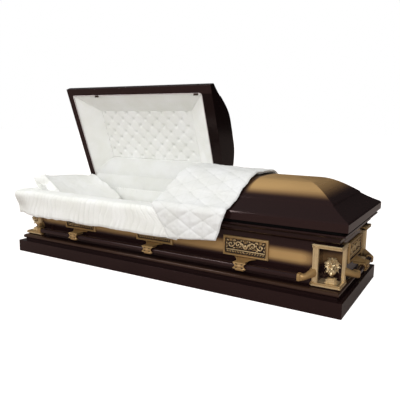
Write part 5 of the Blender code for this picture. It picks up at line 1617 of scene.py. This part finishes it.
def make_throw():
    """Quilted cloth over the foot lid, from its back rim down past its front rim."""
    fine, run = resample(rounded_line(throw_line(), 0.020), 244)
    columns = 134
    t = np.linspace(0, 1, columns)
    start, finish = FOOT_SPLIT + GAP, FOOT_SPLIT + THROW_LENGTH
    slide = np.clip(-fine[:, 0] / RIM_Y, 0, 1)
    drop = np.clip((BAND_TOP - fine[:, 1]) / (BAND_TOP - HEM_LOW), 0, None) * (fine[:, 0] < -0.3)
    x0 = start - 0.054 * slide + 0.118 * drop
    x1 = finish - 0.040 * slide - 0.045 * drop
    x1 -= 0.012 * np.exp(-((fine[:, 0] + 0.02) / 0.10) ** 2)
    x = x0[:, None] * (1 - t) + x1[:, None] * t
    y = np.repeat(fine[:, 0:1], columns, 1)
    z = fine[:, 1:2] + 0.026 * drop[:, None] * t
    s = np.repeat(run[:, None], columns, 1)
    pitch_x, pitch_s = 0.150, 0.098
    from_ridge = s - run[np.argmin(np.abs(fine[:, 0]))]
    px, ps = (x - 0.305) / pitch_x, (from_ridge - 0.466) / pitch_s
    diamonds = np.minimum(np.abs(np.sin(pi * (px + ps))), np.abs(np.sin(pi * (px - ps))))
    facets = np.minimum(np.abs(np.sin(2 * pi * px)), np.abs(np.sin(2 * pi * ps)))
    puff = 0.78 * diamonds ** 0.55 + 0.22 * facets ** 0.6
    height = 0.0066 * puff - 0.0045
    height += 0.0014 * noise(x / 0.030, s / 0.030, 101) + 0.0008 * noise(x / 0.012, s / 0.015, 102)
    at_ridge = np.exp(-(y / 0.17) ** 2)
    lift = at_ridge * (0.010 + 0.014 * (1 - t[None, :]) ** 2)
    lift += 0.0026 * noise(x / 0.017, 0.4 + 0 * s, 103) * np.exp(-(y / 0.05) ** 2)
    height += lift
    edge_s = np.minimum(s, run[-1] - s)
    edge_x = np.minimum(x - x0[:, None], x1[:, None] - x)
    edge = np.minimum(edge_s, edge_x)
    height -= 0.0060 * (1 - smoothstep(0.0, 0.010, edge)) ** 2
    ruffle = np.sin(s / 0.028 + 2 * noise(s / 0.1, 0 * s, 7)) * 0.0016
    points, sign = raised(np.stack([x, y, z], 2), height, (122, 67), 2, 1)
    points[:, :, 0] += ruffle * smoothstep(0.03, 0.0, edge_x) * np.where(x > 0.3, 1, -1)
    thickness = 0.0090 - 0.0045 * (1 - smoothstep(0, 0.012, edge))
    thickness = np.minimum(thickness + lift, 0.0195)
    # Painted shade along the sunk quilting lines and where they cross.
    seam_shade = 0.10 * np.exp(-(diamonds / 0.11) ** 2) + 0.07 * np.exp(-(np.sin(2 * pi * px) / 0.12) ** 2)
    node = np.exp(-((np.sin(pi * (px + ps)) ** 2 + np.sin(pi * (px - ps)) ** 2) / 0.035))
    seam_shade += 0.25 * node
    quilt = slab_mesh(points, sign * thickness)
    store(quilt, "depth", np.concatenate([seam_shade.ravel(), seam_shade.ravel()]))
    throw = finish_mesh("quilted_throw", quilt, MATERIALS["quilt"], 80)
    placed(throw, "foot_lid", ["throw"])
    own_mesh(throw)


# Stage, light and camera


CAMERA_PLACE = (1.54354, -2.39861, 0.86557)
CAMERA_TURN = (-30.6905, -9.4160, 0.6359)
CAMERA_LENS = 42.95
LAMPS = (
    ("key", (-2.3, -2.9, 2.9), (0.1, 0, 0.3), (1.6, 1.0), 21),
    ("fill", (1.9, -4.0, 1.7), (-0.4, 0.3, 0.6), (2.2, 1.6), 58),
    ("strip", (-2.4, -1.5, 3.7), (-0.3, 0.0, 0.3), (3.2, 0.16), 33),
)


def make_stage():
    """Pale floor, soft light and the camera."""
    floor_mesh = new_mesh([(-30, -30, 0), (30, -30, 0), (30, 30, 0), (-30, 30, 0)], [(0, 1, 2, 3)])
    floor_material = material("pale_floor", (0.34, 0.285, 0.26), 0.9)
    nodes = Nodes(floor_material)
    seen = nodes.add("ShaderNodeLightPath").outputs["Is Camera Ray"]
    nodes.shade("Emission Color", (1, 1, 1, 1))
    nodes.shade("Emission Strength", seen)
    nodes.shade("Specular IOR Level", 0.0)
    floor = finish_mesh("floor", floor_mesh, floor_material)
    floor.location.z = -0.0005

    world = bpy.data.worlds.new("studio")
    bpy.context.scene.world = world
    world.use_nodes = True
    nodes = Nodes(world, "Background")
    front = tuple(Vector((-0.30, -0.80, 0.30)).normalized())
    around = nodes.add("ShaderNodeTexCoord").outputs["Generated"]
    towards = nodes.add("ShaderNodeVectorMath", {0: around, 1: front}, operation="DOT_PRODUCT")
    path = nodes.add("ShaderNodeLightPath").outputs
    mirrored = nodes.ranged(path["Is Glossy Ray"], 0.0, 1.0, 1.0, 0.28)
    glow = nodes.times(nodes.ranged(towards.outputs["Value"], -0.8, 0.8, 0.06, 1.02), mirrored)
    seen = nodes.add("ShaderNodeMix", {0: path["Is Camera Ray"], 2: glow, 3: 1.0})
    nodes.shade("Strength", seen.outputs[0])
    nodes.shade("Color", (1, 1, 1, 1))

    for name, place, target, size, power in LAMPS:
        light = bpy.data.lights.new(name, "AREA")
        light.shape = "RECTANGLE"
        light.size, light.size_y = size
        light.energy = power
        lamp = bpy.data.objects.new(name, light)
        lamp.location = place
        lamp.rotation_euler = (Vector(target) - Vector(place)).to_track_quat("-Z", "Y").to_euler()
        bpy.context.scene.collection.objects.link(lamp)

    data = bpy.data.cameras.new("camera")
    data.sensor_width = 36.0
    data.lens = CAMERA_LENS
    data.clip_end = 200.0
    camera = bpy.data.objects.new("camera", data)
    yaw, pitch, roll = [radians(angle) for angle in CAMERA_TURN]
    ahead = Vector((cos(pitch) * sin(yaw), cos(pitch) * cos(yaw), sin(pitch)))
    aim = ahead.to_track_quat("-Z", "Y").to_matrix().to_4x4()
    place = Matrix.Translation(CAMERA_PLACE)
    camera.matrix_world = place @ aim @ Matrix.Rotation(roll, 4, "Z")
    bpy.context.scene.collection.objects.link(camera)
    bpy.context.scene.camera = camera
    bpy.context.scene.view_settings.view_transform = "Standard"


make_body()
make_lid("foot_lid_panels", FOOT_SPLIT, RIM_X, "foot_lid", "foot_lid", None)
make_lid("head_lid_panels", HEAD_SPLIT, -RIM_X, "head_lid", "head_lid", OPENED)
make_castings()
make_mattress()
make_side_lining()
make_extendover()
make_pillow()
make_lid_border()
make_tufting()
make_welt()
make_apron()
make_hinge_cloth()
make_throw()
dress("gasket", "rubber")
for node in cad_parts:
    if node.startswith("hinge"):
        dress(node, "steel")
    if "catch" in node:
        dress(node, "bronze")
make_stage()
